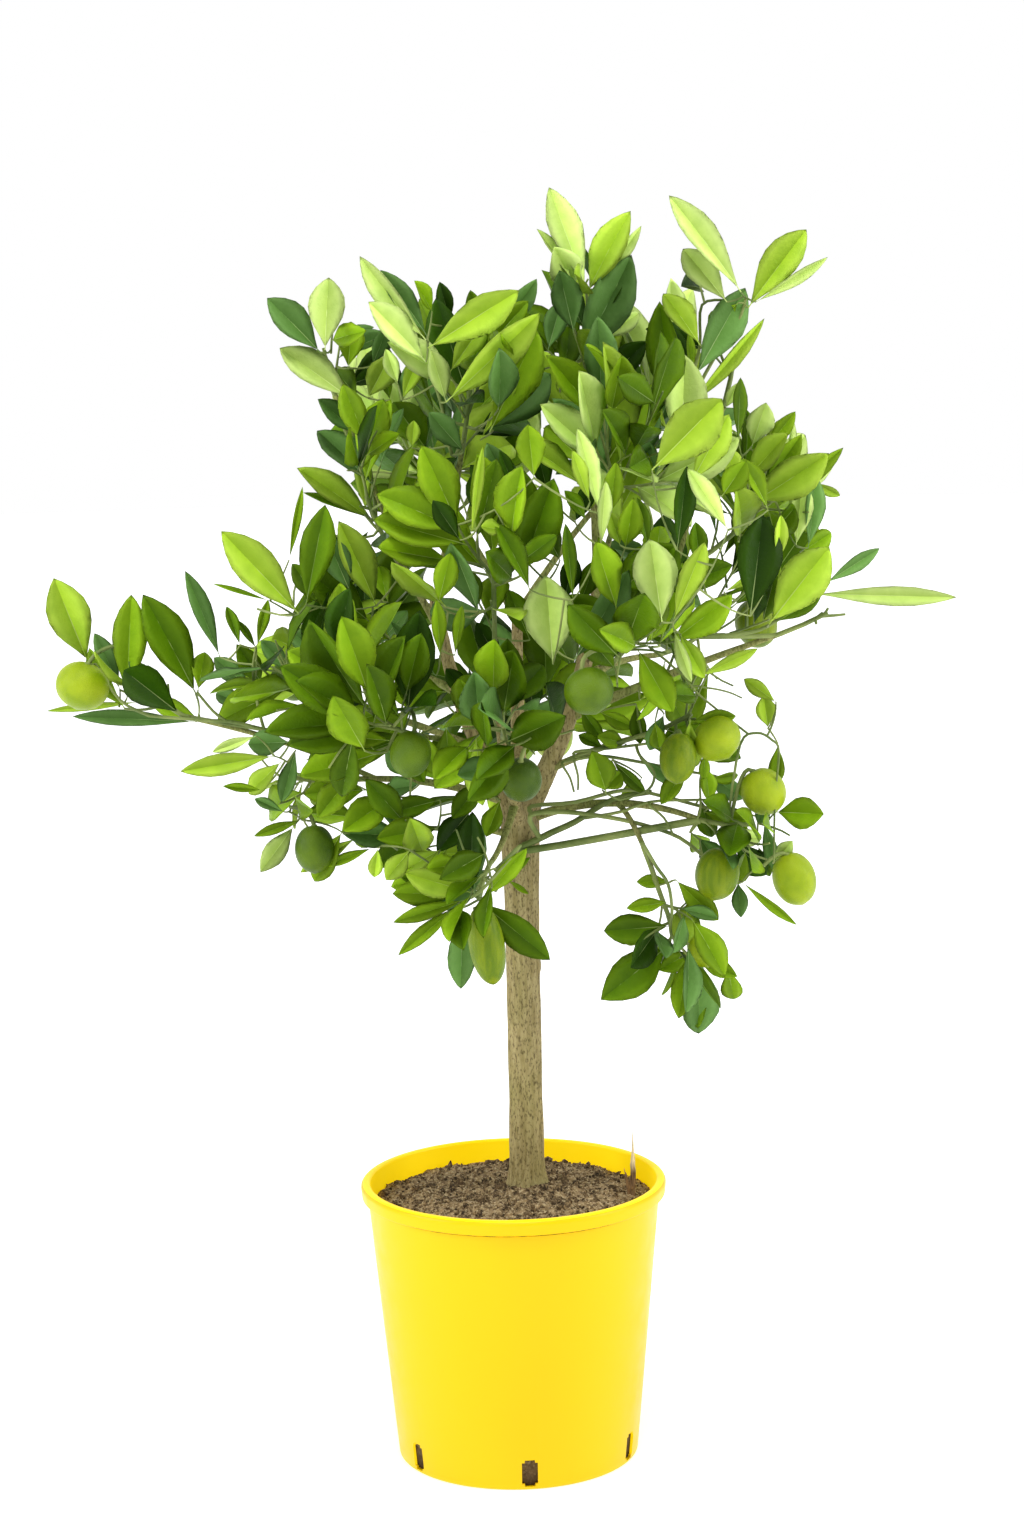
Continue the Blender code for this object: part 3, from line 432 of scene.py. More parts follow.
def soil_finish(name, dark, mid, pale):
    """Peat brown in patches, with pale grains, a rough, dull surface and a damp foot."""
    material = finish_of(name, mid, 0.95, 0.2)
    body = between(material, mottled(material, 210.0, 8.0, 0.40, 0.58), dark, mid)
    dry = between(material, mottled(material, 520.0, 5.0, 0.50, 0.66), body, pale)
    feed(material, "Base Color", between(material, by_height(material, DAMP_BELOW, DRY_ABOVE),
                                         SOIL_DAMP, dry))
    raised(material, mottled(material, 500.0, 6.0, 0.2, 0.8), 0.0006)
    return material


def upper_face(mesh, margin):
    """The upper surface of the bed up to a margin from the wall, to carry loose lumps."""
    bm = bmesh.new()
    bm.from_mesh(mesh)
    far = pot_inside(SOIL_EDGE) - margin
    bmesh.ops.delete(bm, geom=[face for face in bm.faces
                               if face.calc_center_median().z < SOIL_EDGE - BED_DROP
                               or face.calc_center_median().xy.length > far], context="FACES")
    return mesh_of("soil_surface", bm)


soil_bed_piece = soil_bed()
fines = soil_finish("potting_soil", SOIL_DARK, SOIL_MID, SOIL_PALE)
clod_soil = soil_finish("clod_soil", CLOD_DARK, CLOD_MID, SOIL_MID)
soil_bed_piece.data.materials.append(fines)
grain_soil = soil_finish("grain_soil", SOIL_MID, SOIL_PALE, GRAIN_PALE)
scatter = scatter_tree()
surface = upper_face(soil_bed_piece.data, SURFACE_MARGIN)
open_bed = upper_face(soil_bed_piece.data, CLOD_SPREAD * CLOD_RADIUS)
crumbs = made_by(scatter, "soil_crumbs", surface, Density=CRUMBS_PER_M2, Radius=CRUMB_RADIUS,
                 Roughness=0.9, Seed=11, Material=fines)
bits = made_by(scatter, "soil_bits", open_bed, Density=BITS_PER_M2, Radius=BIT_RADIUS,
               Roughness=1.0, Seed=31, Material=clod_soil)
clods = made_by(scatter, "soil_clods", open_bed.copy(), Density=CLODS_PER_M2,
                Radius=CLOD_RADIUS, Roughness=1.1, Seed=4, Material=clod_soil)
grains = made_by(scatter, "soil_grains", surface.copy(), Density=GRAINS_PER_M2,
                 Radius=GRAIN_RADIUS, Roughness=0.6, Seed=23, Material=grain_soil)
for piece in (soil_bed_piece, crumbs, bits, clods, grains):
    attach(piece, "root")
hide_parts("soil")

# ------------------------------------------------------------------ dry stub
# What is left of an old shoot: a dead splinter that was snapped off above the soil, with a
# shorter shard beside it, grey-brown at the foot and straw coloured where it tore.

STUB_FOOT = Vector((0.0935, -0.008, 0.196))
SPLINTER_STEPS = 14
STUB_DARK = (0.075, 0.040, 0.016)
STUB_BROWN = (0.27, 0.16, 0.070)
STUB_MEAN = (0.40, 0.27, 0.13)
STUB_STRAW = (0.80, 0.66, 0.38)
GREY_BELOW = 0.226
STRAW_ABOVE = 0.236
SPLINTERS = (   # lean of the tip, height, widest radius, seed
    (Vector((0.0006, 0.0010, 0.0640)), 0.0031, 3),
    (Vector((-0.0066, -0.0010, 0.0345)), 0.0030, 8),
    (Vector((-0.0020, -0.0006, 0.0285)), 0.0036, 5),
)


def ring_tube(bm, points, radii, sides, rough=0.0, seed=0.0, flat=1.0):
    """A closed tube through points in a bmesh, with rough sides; gives back its verts."""
    heading = (points[1] - points[0]).normalized()
    across = heading.orthogonal().normalized()
    rings = []
    for n, point in enumerate(points):
        ahead = points[min(n + 1, len(points) - 1)] - points[max(n - 1, 0)]
        across = (across - ahead * (across.dot(ahead) / ahead.length_squared)).normalized()
        beside = ahead.cross(across).normalized()
        ring = []
        for k in range(sides):
            angle = math.tau * k / sides
            out = across * math.cos(angle) * flat + beside * math.sin(angle)
            push = 1.0
            if rough:
                push += rough * noise.noise(Vector((math.cos(angle) * 2, math.sin(angle) * 2,
                                                    point.z * 60.0 + seed)))
            ring.append(bm.verts.new(point + out * (radii[n] * push)))
        rings.append(ring)
    for low, high in zip(rings, rings[1:]):
        for k in range(sides):
            bm.faces.new((low[k], low[(k + 1) % sides], high[(k + 1) % sides], high[k]))
    bm.faces.new(rings[0][::-1])
    bm.faces.new(rings[-1])
    return rings


bm = bmesh.new()
for lean, widest, seed in SPLINTERS:
    line, girth = [], []
    for n in range(SPLINTER_STEPS + 1):
        aside = Vector((0.0009 * noise.noise(Vector((n * 0.7, seed, 0))),
                        0.0007 * noise.noise(Vector((n * 0.6, 0, seed))), 0))
        line.append(STUB_FOOT + lean * (n / SPLINTER_STEPS) + aside)
        girth.append(max(widest * (1.0 - (n / SPLINTER_STEPS) ** 1.6), 0.0002))
    ring_tube(bm, line, girth, 9, rough=0.75, seed=seed, flat=0.6)
dry_splinters = put("dry_splinters", mesh_of("dry_splinters", bm))
dry = finish_of("dry_wood", STUB_MEAN, 0.8)
fibres = between(dry, mottled(dry, 90.0, 5.0, 0.3, 0.7, stretch=(12.0, 12.0, 1.0)), STUB_DARK,
                 STUB_BROWN)
feed(dry, "Base Color", between(dry, by_height(dry, GREY_BELOW, STRAW_ABOVE), fibres, STUB_STRAW))
raised(dry, mottled(dry, 120.0, 5.0, stretch=(10.0, 10.0, 1.0)), 0.0003)
dry_splinters.data.materials.append(dry)
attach(dry_splinters, "root")
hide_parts("dry_stub")

# ------------------------------------------------------------------ trunk and leaders
# The stem and the four leaders that part at its top: one woody piece with olive-tan bark
# in long fine streaks, two healed knots and a flared foot. It stands in the soil.

TRUNK_FOOT = Vector((0.011, 0.012, 0.2148))
TRUNK_STATIONS = (   # height above the soil, radius
    (0.000, 0.0168), (0.007, 0.0149), (0.022, 0.0137), (0.075, 0.0133), (0.170, 0.0131),
    (0.235, 0.0136), (0.278, 0.0153), (0.298, 0.0150), (0.308, 0.0128), (0.314, 0.0085))
TRUNK_TOP = TRUNK_STATIONS[-1][0]
TRUNK_SUNK = 0.004
TRUNK_STEPS = 60
TRUNK_SIDES = 40
LEADER_STEPS = 25
LEADER_SIDES = 22
LEADER_COLLAR = 0.45              # how much thicker a leader is where it leaves the trunk
BARK_TINTS = ((0.45, 0.37, 0.175), (0.285, 0.225, 0.092),   # pale, mid, dark, green
              (0.085, 0.060, 0.024), (0.30, 0.27, 0.085))
BARK_VOXEL = 0.0010
BARK_RELIEF = 0.00055
KNOTS = (   # where on the trunk, and how wide and how proud the healed knot is
    (Vector((0.0045, -0.0015, 0.4330)), 0.0055, 0.0021),
    (Vector((0.0040, -0.0015, 0.3480)), 0.0060, 0.0016),
    (Vector((0.0240, 0.0090, 0.3900)), 0.0050, 0.0014),
    (Vector((0.0100, 0.0250, 0.3700)), 0.0060, 0.0018),
)
Limb = namedtuple("Limb", "name carrier along lean tip thick thin")
LEADERS = (
    Limb("leader_right", "trunk", 0.93, (0.062, -0.004, 0.588), (0.078, 0.016, 0.705), 0.0082,
         0.0050),
    Limb("leader_left", "trunk", 0.94, (-0.036, 0.010, 0.575), (-0.052, 0.028, 0.680), 0.0074,
         0.0045),
    Limb("leader_back", "trunk", 0.94, (0.010, 0.070, 0.560), (0.012, 0.098, 0.660), 0.0068,
         0.0042),
    Limb("leader_front", "trunk", 0.91, (0.004, -0.050, 0.545), (-0.006, -0.070, 0.610), 0.0050,
         0.0036),
)
LIMB_POINTS = 5
Twig = namedtuple("Twig", "points thick thin tip", defaults=(None,))


def arc(start, lean, end, steps):
    """Points on the smooth curve from start to end that leans towards one point."""
    return interpolate_bezier(start, start.lerp(lean, 2 / 3), end.lerp(lean, 2 / 3), end, steps)


def spot(points, share):
    """The place and heading at a share of the way along a line of points."""
    place = min(max(share, 0.0), 1.0) * (len(points) - 1)
    first = min(int(place), len(points) - 2)
    step = points[first + 1] - points[first]
    return points[first] + step * (place - first), step.normalized()


def trunk_line(height):
    """A place on the trunk's middle line, and its radius there."""
    for (low, thick), (high, thin) in zip(TRUNK_STATIONS, TRUNK_STATIONS[1:]):
        if height <= high:
            share = (height - low) / (high - low)
            return TRUNK_FOOT + UP * height, thick + (thin - thick) * share
    return TRUNK_FOOT + UP * TRUNK_TOP, TRUNK_STATIONS[-1][1]


def bark_finish(name, pale, mid, dark, green):
    """Young bark: tan and olive in long streaks, with dark flecks and a green flush."""
    material = finish_of(name, mid, 0.82, 0.25)
    streaks = between(material, mottled(material, 46.0, 7.0, 0.36, 0.64, stretch=(7.0, 7.0, 1.0)),
                      mid, pale)
    flush = mottled(material, 24.0, 3.0, 0.42, 0.7, stretch=(1.0, 1.0, 0.5))
    flushed = between(material, ranged(material, flush, 0.0, 0.7), streaks, green)
    flecks = mottled(material, 420.0, 7.0, 0.50, 0.66, stretch=(1.6, 1.6, 0.7))
    feed(material, "Base Color", between(material, ranged(material, flecks, 0.0, 0.80), flushed,
                                         dark))
    raised(material, mottled(material, 260.0, 8.0, 0.25, 0.75, stretch=(2.4, 2.4, 0.6)), 0.0008)
    return material


bm = bmesh.new()
line = [trunk_line(-TRUNK_SUNK + (TRUNK_TOP + TRUNK_SUNK) * n / TRUNK_STEPS)
        for n in range(TRUNK_STEPS + 1)]
ring_tube(bm, [place for place, _ in line], [radius for _, radius in line], TRUNK_SIDES)
leader_lines = {}
for leader in LEADERS:
    start = TRUNK_FOOT + UP * (TRUNK_TOP * leader.along)
    lean, tip = Vector(leader.lean), Vector(leader.tip)
    leader_lines[leader.name] = Twig(arc(start, lean, tip, LIMB_POINTS + 1), leader.thick,
                                     leader.thin)
    shares = [n / LEADER_STEPS for n in range(LEADER_STEPS + 1)]
    radii = [(leader.thick + (leader.thin - leader.thick) * share)
             * (1 + LEADER_COLLAR * (1 - share) ** 6) for share in shares]
    ring_tube(bm, arc(start, lean, tip, LEADER_STEPS + 1), radii, LEADER_SIDES)
bark = put("bark", mesh_of("bark", bm))
weld = bark.modifiers.new("weld", "REMESH")
weld.mode = "VOXEL"
weld.voxel_size = BARK_VOXEL
ease = bark.modifiers.new("ease", "SMOOTH")
ease.factor = 0.5
ease.iterations = 6
baked(bark)
shape = bark.data
settled = [(vert.co.copy(), vert.normal.copy()) for vert in shape.vertices]
carved = []
for place, normal in settled:
    ridges = noise.fractal(Vector((place.x * 330, place.y * 330, place.z * 26)), 0.9, 2.1, 4)
    swell = noise.noise(Vector((place.x * 60, place.y * 60, place.z * 34)))
    push = BARK_RELIEF * (0.55 * ridges + 0.9 * swell)
    for middle, wide, proud in KNOTS:
        near = (place - middle).length / wide
        if near < 2.5:
            push += proud * (math.exp(-near * near) - 0.45 * math.exp(-near * near * 9.0))
    carved.extend(place + normal * push)
shape.vertices.foreach_set("co", carved)
shape.shade_smooth()
shape.materials.clear()
shape.materials.append(bark_finish("trunk_bark", *BARK_TINTS))
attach(bark, "root")
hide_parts("trunk", *[leader.name for leader in LEADERS])

# ------------------------------------------------------------------ boughs
# The limbs that leave the trunk and the leaders and carry one cloud of foliage each:
# tapering wood with a swollen collar, in bark greener than the trunk's.

BOUGH_TIP_RADIUS = 0.0021
BOUGH_TAPER = 0.011
BOUGH_STEPS = 22
BOUGH_SIDES = 12
BOUGH_COLLAR = 0.35
BOUGH_ROUGH = 0.16
BOUGH_REACH = 0.62                # how far from a cloud's heart its bough ends, of its mean half
LIMB_TINTS = ((0.38, 0.38, 0.13), (0.21, 0.22, 0.065), (0.10, 0.09, 0.03), (0.19, 0.27, 0.05))
GAP = 0.0003                      # between a bough's end and the stem that runs on from it
CLEAR = 0.0006                    # between anything that grows and what it mustn't touch

# A cloud of foliage has its own space: an ellipsoid, cut off by flat planes between it
# and its neighbours. Each tip is a place that one of its leaves reaches.
Mass = namedtuple("Mass", "name middle half carrier along rise lift leaf shoots seed tips")
MASSES = (
    # left side
    Mass("far_left", (-0.264, -0.040, 0.650), (0.088, 0.050, 0.062), "bough_left_low", 0.80, 0.06,
         1.6, 0.070, 1, 89, ((-0.338, -0.040, 0.706), (-0.248, -0.035, 0.708),
         (-0.290, -0.045, 0.690), (-0.345, -0.005, 0.600))),
    Mass("left", (-0.165, -0.045, 0.645), (0.096, 0.078, 0.100), "leader_left", 0.35, 0.05, 0.5,
         0.078, 3, 292, ((-0.209, -0.045, 0.738), (-0.228, -0.045, 0.672),
         (-0.222, -0.040, 0.625))),
    Mass("left_low", (-0.172, -0.030, 0.545), (0.084, 0.074, 0.076), "trunk", 0.96, 0.12, -0.3,
         0.072, 3, 149, ((-0.246, -0.030, 0.560), (-0.186, -0.030, 0.485),
         (-0.160, -0.050, 0.470))),
    Mass("low_left", (-0.085, -0.050, 0.512), (0.084, 0.072, 0.064), "trunk", 0.88, 0.10, -0.2,
         0.074, 4, 278, ((-0.130, -0.060, 0.464), (-0.090, -0.080, 0.458),
         (-0.060, -0.070, 0.462))),
    Mass("low_front", (-0.022, -0.112, 0.466), (0.070, 0.054, 0.068), "leader_front", 0.25, -0.15,
         -0.2, 0.070, 0, 118, ((0.037, -0.112, 0.418), (-0.045, -0.138, 0.402),
         (-0.084, -0.112, 0.430), (-0.080, -0.125, 0.462), (0.014, -0.125, 0.510),
         (-0.034, -0.135, 0.522))),
    Mass("front_left", (-0.100, -0.115, 0.628), (0.090, 0.080, 0.090), "leader_front", 0.60, 0.10,
         0.6, 0.084, 5, 76, ()),
    Mass("top_left", (-0.124, 0.000, 0.872), (0.066, 0.066, 0.074), "bough_left_high", 0.80, 0.05,
         1.0, 0.068, 2, 139, ((-0.169, 0.000, 0.915), (-0.128, 0.000, 0.926),
         (-0.164, 0.000, 0.876), (-0.103, 0.000, 0.939))),
    Mass("left_high", (-0.100, -0.030, 0.780), (0.086, 0.082, 0.090), "leader_left", 0.85, 0.05,
         0.7, 0.078, 4, 223, ((-0.150, -0.030, 0.820), (-0.158, -0.030, 0.782))),
    # top
    Mass("top_mid", (-0.020, -0.045, 0.865), (0.098, 0.084, 0.088), "leader_left", 0.95, 0.05, 0.8,
         0.086, 4, 253, ((0.016, -0.040, 0.922), (-0.058, -0.030, 0.932))),
    Mass("top", (0.068, 0.000, 0.910), (0.072, 0.074, 0.098), "leader_right", 0.92, 0.03, 0.9,
         0.082, 3, 88, ((0.042, 0.000, 0.990), (0.096, 0.000, 0.972), (0.100, -0.020, 0.934))),
    Mass("top_right", (0.182, 0.010, 0.890), (0.086, 0.076, 0.104), "bough_right_high", 0.72, 0.06,
         0.8, 0.084, 3, 54, ((0.134, 0.010, 0.984), (0.235, 0.010, 0.957), (0.172, 0.010, 0.935),
         (0.215, -0.020, 0.885))),
    Mass("high_mid", (0.090, -0.080, 0.800), (0.092, 0.084, 0.104), "leader_right", 0.78, 0.06,
         0.6, 0.086, 6, 141, ()),
    # right side
    Mass("right_high", (0.198, -0.020, 0.765), (0.086, 0.084, 0.096), "leader_right", 0.70, 0.08,
         0.5, 0.078, 3, 31, ((0.262, -0.010, 0.788), (0.226, -0.020, 0.830),
         (0.256, -0.020, 0.730), (0.196, -0.020, 0.830))),
    Mass("right", (0.246, -0.040, 0.672), (0.104, 0.066, 0.060), "leader_right", 0.45, 0.02, 0.2,
         0.082, 2, 167, ((0.343, -0.040, 0.680), (0.290, -0.020, 0.716), (0.262, -0.060, 0.706),
         (0.240, -0.050, 0.640))),
    Mass("front_mid", (-0.005, -0.095, 0.735), (0.096, 0.086, 0.100), "leader_front", 0.98, 0.04,
         0.5, 0.084, 6, 150, ()),
    Mass("front_right", (0.098, -0.115, 0.680), (0.092, 0.084, 0.092), "leader_right", 0.50, 0.06,
         0.5, 0.086, 5, 169, ()),
    Mass("front_low", (0.000, -0.120, 0.605), (0.088, 0.076, 0.082), "leader_front", 0.75, -0.04,
         0.2, 0.078, 5, 260, ()),
    Mass("right_mid", (0.142, -0.045, 0.598), (0.082, 0.076, 0.068), "leader_right", 0.22, 0.05,
         0.2, 0.070, 3, 126, ((0.208, -0.050, 0.602), (0.160, -0.040, 0.640))),
    Mass("right_low", (0.188, -0.040, 0.500), (0.074, 0.066, 0.072), "trunk", 0.92, 0.20, -0.4,
         0.066, 2, 294, ((0.243, -0.040, 0.514), (0.222, -0.082, 0.432), (0.182, -0.040, 0.438),
         (0.140, -0.050, 0.530))),
    Mass("hanging", (0.128, -0.055, 0.408), (0.066, 0.054, 0.066), "bough_right_low", 0.55, 0.25,
         -1.0, 0.068, 0, 120, ((0.147, -0.055, 0.348), (0.074, -0.055, 0.376),
         (0.076, -0.060, 0.425), (0.178, -0.025, 0.375), (0.122, -0.045, 0.362),
         (0.160, -0.055, 0.440))),
    # behind
    Mass("back_left", (-0.145, 0.120, 0.660), (0.105, 0.095, 0.115), "leader_left", 0.62, 0.08,
         0.6, 0.086, 5, 194, ()),
    Mass("back_low", (0.020, 0.165, 0.575), (0.120, 0.092, 0.092), "leader_back", 0.45, 0.05, -0.1,
         0.084, 5, 50, ()),
    Mass("back_top_left", (-0.050, 0.115, 0.800), (0.105, 0.095, 0.110), "leader_back", 0.95, 0.05,
         0.7, 0.086, 5, 238, ()),
    Mass("back_top_right", (0.115, 0.115, 0.820), (0.100, 0.095, 0.105), "leader_back", 0.97, 0.08,
         0.7, 0.086, 5, 153, ()),
    Mass("back_right", (0.165, 0.115, 0.655), (0.105, 0.095, 0.115), "leader_right", 0.60, 0.08,
         0.5, 0.086, 5, 76, ()),
)


def mean_half(mass):
    """The mean of a cloud's half sizes."""
    return sum(mass.half) / 3


def planes_round(mass):
    """The flat planes (outward normal and distance) between a cloud and the others."""
    middle = np.array(mass.middle)
    planes = []
    for other in MASSES:
        if other.name == mass.name:
            continue
        across = np.array(other.middle) - middle
        apart = np.linalg.norm(across)
        reach = (apart ** 2 + mean_half(mass) ** 2 - mean_half(other) ** 2) / (2 * apart)
        planes.append((*(across / apart), across @ middle / apart + reach))
    return np.array(planes)


PLANES = {mass.name: planes_round(mass) for mass in MASSES}


def in_space(mass, points, to_tip=False):
    """Whether all the points lie in the cloud's space. What grows to a tip may leave the
    ellipsoid, but not cross a plane."""
    points = np.array(points)
    scaled = (points - np.array(mass.middle)) / np.array(mass.half)
    planes = PLANES[mass.name]
    inside = to_tip or ((scaled ** 2).sum(axis=1) <= 1.0).all()
    return bool(inside and (points @ planes[:, :3].T <= planes[:, 3] - CLEAR).all())


def heart_of(mass):
    """Where a cloud's shoots spread from: low if its leaves stand up, high if they hang."""
    return Vector(mass.middle) - UP * (0.42 * mass.lift * mass.half[2])


def bough_curve(mass, carrier):
    """Start, lean and end of the bough from its carrier into the cloud, and its radius."""
    if mass.carrier == "trunk":
        start = TRUNK_FOOT + UP * (TRUNK_TOP * mass.along)
    else:
        start = spot(carrier.points, mass.along)[0]
    heart = heart_of(mass)
    entry = heart
    for step in range(1, 40):
        trial = heart.lerp(start, step / 40)
        if not in_space(mass, [trial]) or (trial - heart).length > BOUGH_REACH * mean_half(mass):
            break
        entry = trial
    span = (entry - start).length
    lean = start.lerp(entry, 0.5) + UP * (mass.rise * span)
    limit = 0.7 * (carrier.thick + (carrier.thin - carrier.thick) * mass.along)
    return start, lean, entry, min(BOUGH_TIP_RADIUS + BOUGH_TAPER * span, limit)


limbs = {"trunk": Twig([TRUNK_FOOT + UP * height for height, _ in TRUNK_STATIONS],
                       TRUNK_STATIONS[1][1], TRUNK_STATIONS[-2][1]), **leader_lines}
bm = bmesh.new()
waiting = list(MASSES)
while waiting:
    mass = waiting.pop(0)
    if mass.carrier not in limbs:
        waiting.append(mass)
        continue
    start, lean, entry, thick = bough_curve(mass, limbs[mass.carrier])
    limbs["bough_" + mass.name] = Twig(arc(start, lean, entry, LIMB_POINTS), thick,
                                       BOUGH_TIP_RADIUS)
    radii = [(thick + (BOUGH_TIP_RADIUS - thick) * n / BOUGH_STEPS)
             * (1 + BOUGH_COLLAR * (1 - n / BOUGH_STEPS) ** 8) for n in range(BOUGH_STEPS + 1)]
    ring_tube(bm, arc(start, lean, entry, BOUGH_STEPS + 1), radii, BOUGH_SIDES, rough=BOUGH_ROUGH,
              seed=mass.seed)
boughs = put("boughs", mesh_of("boughs", bm))
boughs.data.shade_smooth()
boughs.data.materials.append(bark_finish("limb_bark", *LIMB_TINTS))
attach(boughs, "root")
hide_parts(*["bough_" + mass.name for mass in MASSES])

# ------------------------------------------------------------------ twigs
# The stems, shoots and side twigs of the clouds and the stalks of the fruit: slim green
# wood that runs on from the ends of the boughs, drawn as tubes along lines of points.

TWIG_RADIUS = 0.0014
TWIG_TIP_RADIUS = 0.0009
STEM_TIP_RADIUS = 0.0018
SIDE_RADIUS = 0.0010
STEM_POINTS = 3
STEM_STRAIGHT = 0.004
STEM_SINK = 0.002
SHOOT_POINTS = 2
STALK_POINTS = 3
FINE_STEPS = 8
LEAF_SEED = 1000
SIDE_SEED = 2000
GOLDEN = math.radians(137.508)
SHOOTS_APART = 0.45
STALK_SINK = 0.004
BOW_SEED = 7
LEAF_GAP = 0.0040                 # what is seen further than this from the wood gets a twig
CLOUD_REACH = 0.26                # nothing further from a cloud's middle can touch it
LEAF_REACH = 0.12                 # nothing further from a leaf's base can touch it

Fruit = namedtuple("Fruit", "mass middle diameter length stalk tone")
FRUITS = (
    Fruit("far_left", (-0.318, -0.040, 0.625), 0.041, 0.036, (0.3, 0.0, 1.0), "light"),
    Fruit("low_front", (-0.016, -0.112, 0.434), 0.027, 0.060, (-0.15, 0.0, 1.0), "long"),
    Fruit("front_left", (-0.068, -0.150, 0.585), 0.030, 0.034, (0.2, 0.3, 1.0), "green"),
    Fruit("front_right", (0.062, -0.160, 0.630), 0.036, 0.034, (-0.3, 0.3, 1.0), "green"),
    Fruit("front_low", (0.012, -0.100, 0.556), 0.031, 0.033, (0.0, -0.4, 1.0), "dark"),
    Fruit("right_mid", (0.160, -0.062, 0.578), 0.037, 0.033, (-0.6, 0.2, 1.0), "light"),
    Fruit("right_mid", (0.130, -0.075, 0.566), 0.028, 0.038, (0.1, 0.3, 1.0), "long"),
    Fruit("right_low", (0.160, -0.050, 0.472), 0.034, 0.040, (0.2, 0.1, 1.0), "long"),
    Fruit("right_low", (0.219, -0.045, 0.466), 0.033, 0.041, (-0.3, 0.0, 1.0), "light"),
    Fruit("right_low", (0.196, -0.045, 0.534), 0.034, 0.036, (-0.5, 0.1, 1.0), "light"),
    Fruit("hanging", (0.148, -0.060, 0.415), 0.024, 0.026, (-0.3, 0.0, 1.0), "light"),
    Fruit("left_low", (-0.145, -0.062, 0.500), 0.030, 0.036, (0.0, 0.2, 1.0), "green"),
    Fruit("back_low", (0.040, 0.215, 0.540), 0.034, 0.040, (0.0, -0.4, 1.0), "light"),
    Fruit("back_left", (-0.170, 0.165, 0.600), 0.033, 0.038, (0.2, -0.2, 1.0), "green"),
    Fruit("back_top_left", (-0.050, 0.170, 0.750), 0.034, 0.039, (0.1, -0.4, 1.0), "light"),
    Fruit("back_right", (0.205, 0.140, 0.640), 0.034, 0.040, (-0.3, -0.2, 1.0), "long"),
)


def balls_along(points, thick, thin, spacing=0.003):
    """Balls (x, y, z, radius) that fill a tapering limb, for the clearance tests."""
    balls = []
    for index, (a, b) in enumerate(zip(points, points[1:])):
        count = max(1, math.ceil((b - a).length / spacing))
        for k in range(count + 1):
            share = (index + k / count) / (len(points) - 1)
            balls.append((*a.lerp(b, k / count), thick + (thin - thick) * share))
    return balls


def near_to(balls, place, reach):
    """Only those balls that lie within reach of a place along each axis."""
    return balls[(np.abs(balls[:, :3] - np.array(place)) < reach).all(axis=1)]


def touches(balls, points, radii):
    """Whether a row of balls along a twig comes too near any of the others."""
    points = np.array(points)
    apart = np.linalg.norm(points[:, None, :] - balls[None, :, :3], axis=2)
    return bool((apart < np.array(radii)[:, None] + balls[None, :, 3] + CLEAR).any())


def edge_of_space(mass, start, heading):
    """How far a line runs from start before it leaves the cloud's ellipsoid."""
    half = np.array(mass.half)
    o = (np.array(start) - np.array(mass.middle)) / half
    d = np.array(heading) / half
    a, b, c = d @ d, o @ d, o @ o - 1.0
    return (-b + math.sqrt(max(b * b - a * c, 0.0))) / a


def grow_twigs(mass, balls):
    """The cloud's stem and its shoots, as a list of twigs with the stem first."""
    rng = random.Random(mass.seed)
    bough = limbs["bough_" + mass.name]
    root, heading = spot(bough.points, 1.0)
    root = root + heading * GAP
    heart = heart_of(mass)
    straight = root + heading * STEM_STRAIGHT
    lean = root + heading * (0.5 * (heart - root).length)
    top = heart + UP * (0.15 * mass.lift * mass.half[2])
    stem = Twig([root] + arc(straight, lean, top, STEM_POINTS), BOUGH_TIP_RADIUS, STEM_TIP_RADIUS)
    back = (root - heart).normalized()
    goals = [(Vector(tip), True) for tip in mass.tips]
    turn = rng.uniform(0.0, math.tau)
    tries = mass.shoots * 3
    for k in range(tries):
        height = 1.0 - (2 * k + 1) / tries
        ring = math.sqrt(1.0 - height * height)
        side = turn + k * GOLDEN
        heading = Vector((ring * math.cos(side), ring * math.sin(side), height + 0.25 * mass.lift))
        heading.normalize()
        if heading.dot(back) < 0.6:
            goals.append((heart + heading * edge_of_space(mass, heart, heading), False))
    named = len(mass.tips)
    goals[named:] = rng.sample(goals[named:], len(goals) - named)
    twigs = [stem]
    balls = near_to(balls, mass.middle, CLOUD_REACH)
    for goal, is_tip in goals:
        if len(twigs) > mass.shoots + named:
            break
        start, along = spot(stem.points, rng.uniform(0.60, 0.98))
        reach = (goal - start).length
        length = max(reach - 0.8 * mass.leaf, 0.3 * reach)
        end = start.lerp(goal, length / reach)
        lean = start.lerp(end, 0.45) + (along - UP * (0.3 * mass.lift)) * (0.22 * length)
        line = arc(start, lean, end, SHOOT_POINTS)
        probe = [start.lerp(end, 0.3)] + line[1:]
        apart = min([(end - other.points[-1]).length for other in twigs[1:]] + [reach])
        if in_space(mass, probe, is_tip) and not touches(balls, probe, [TWIG_RADIUS] * len(probe)):
            if is_tip or apart > SHOOTS_APART * mass.leaf:
                twigs.append(Twig(line, TWIG_RADIUS, TWIG_TIP_RADIUS, goal if is_tip else None))
    return twigs


def grow_stalk(fruit, twigs):
    """The stalk from the nearest place on the cloud's twigs to the fruit's top."""
    axis = Vector(fruit.stalk).normalized()
    top = Vector(fruit.middle) + axis * (fruit.length / 2 - STALK_SINK)
    spots = [spot(twig.points, n / 12)[0] for twig in twigs for n in range(1, 12)]
    start = min(spots, key=lambda place: (place - top).length)
    lean = top + axis * (0.5 * (start - top).length)
    return start, lean, top


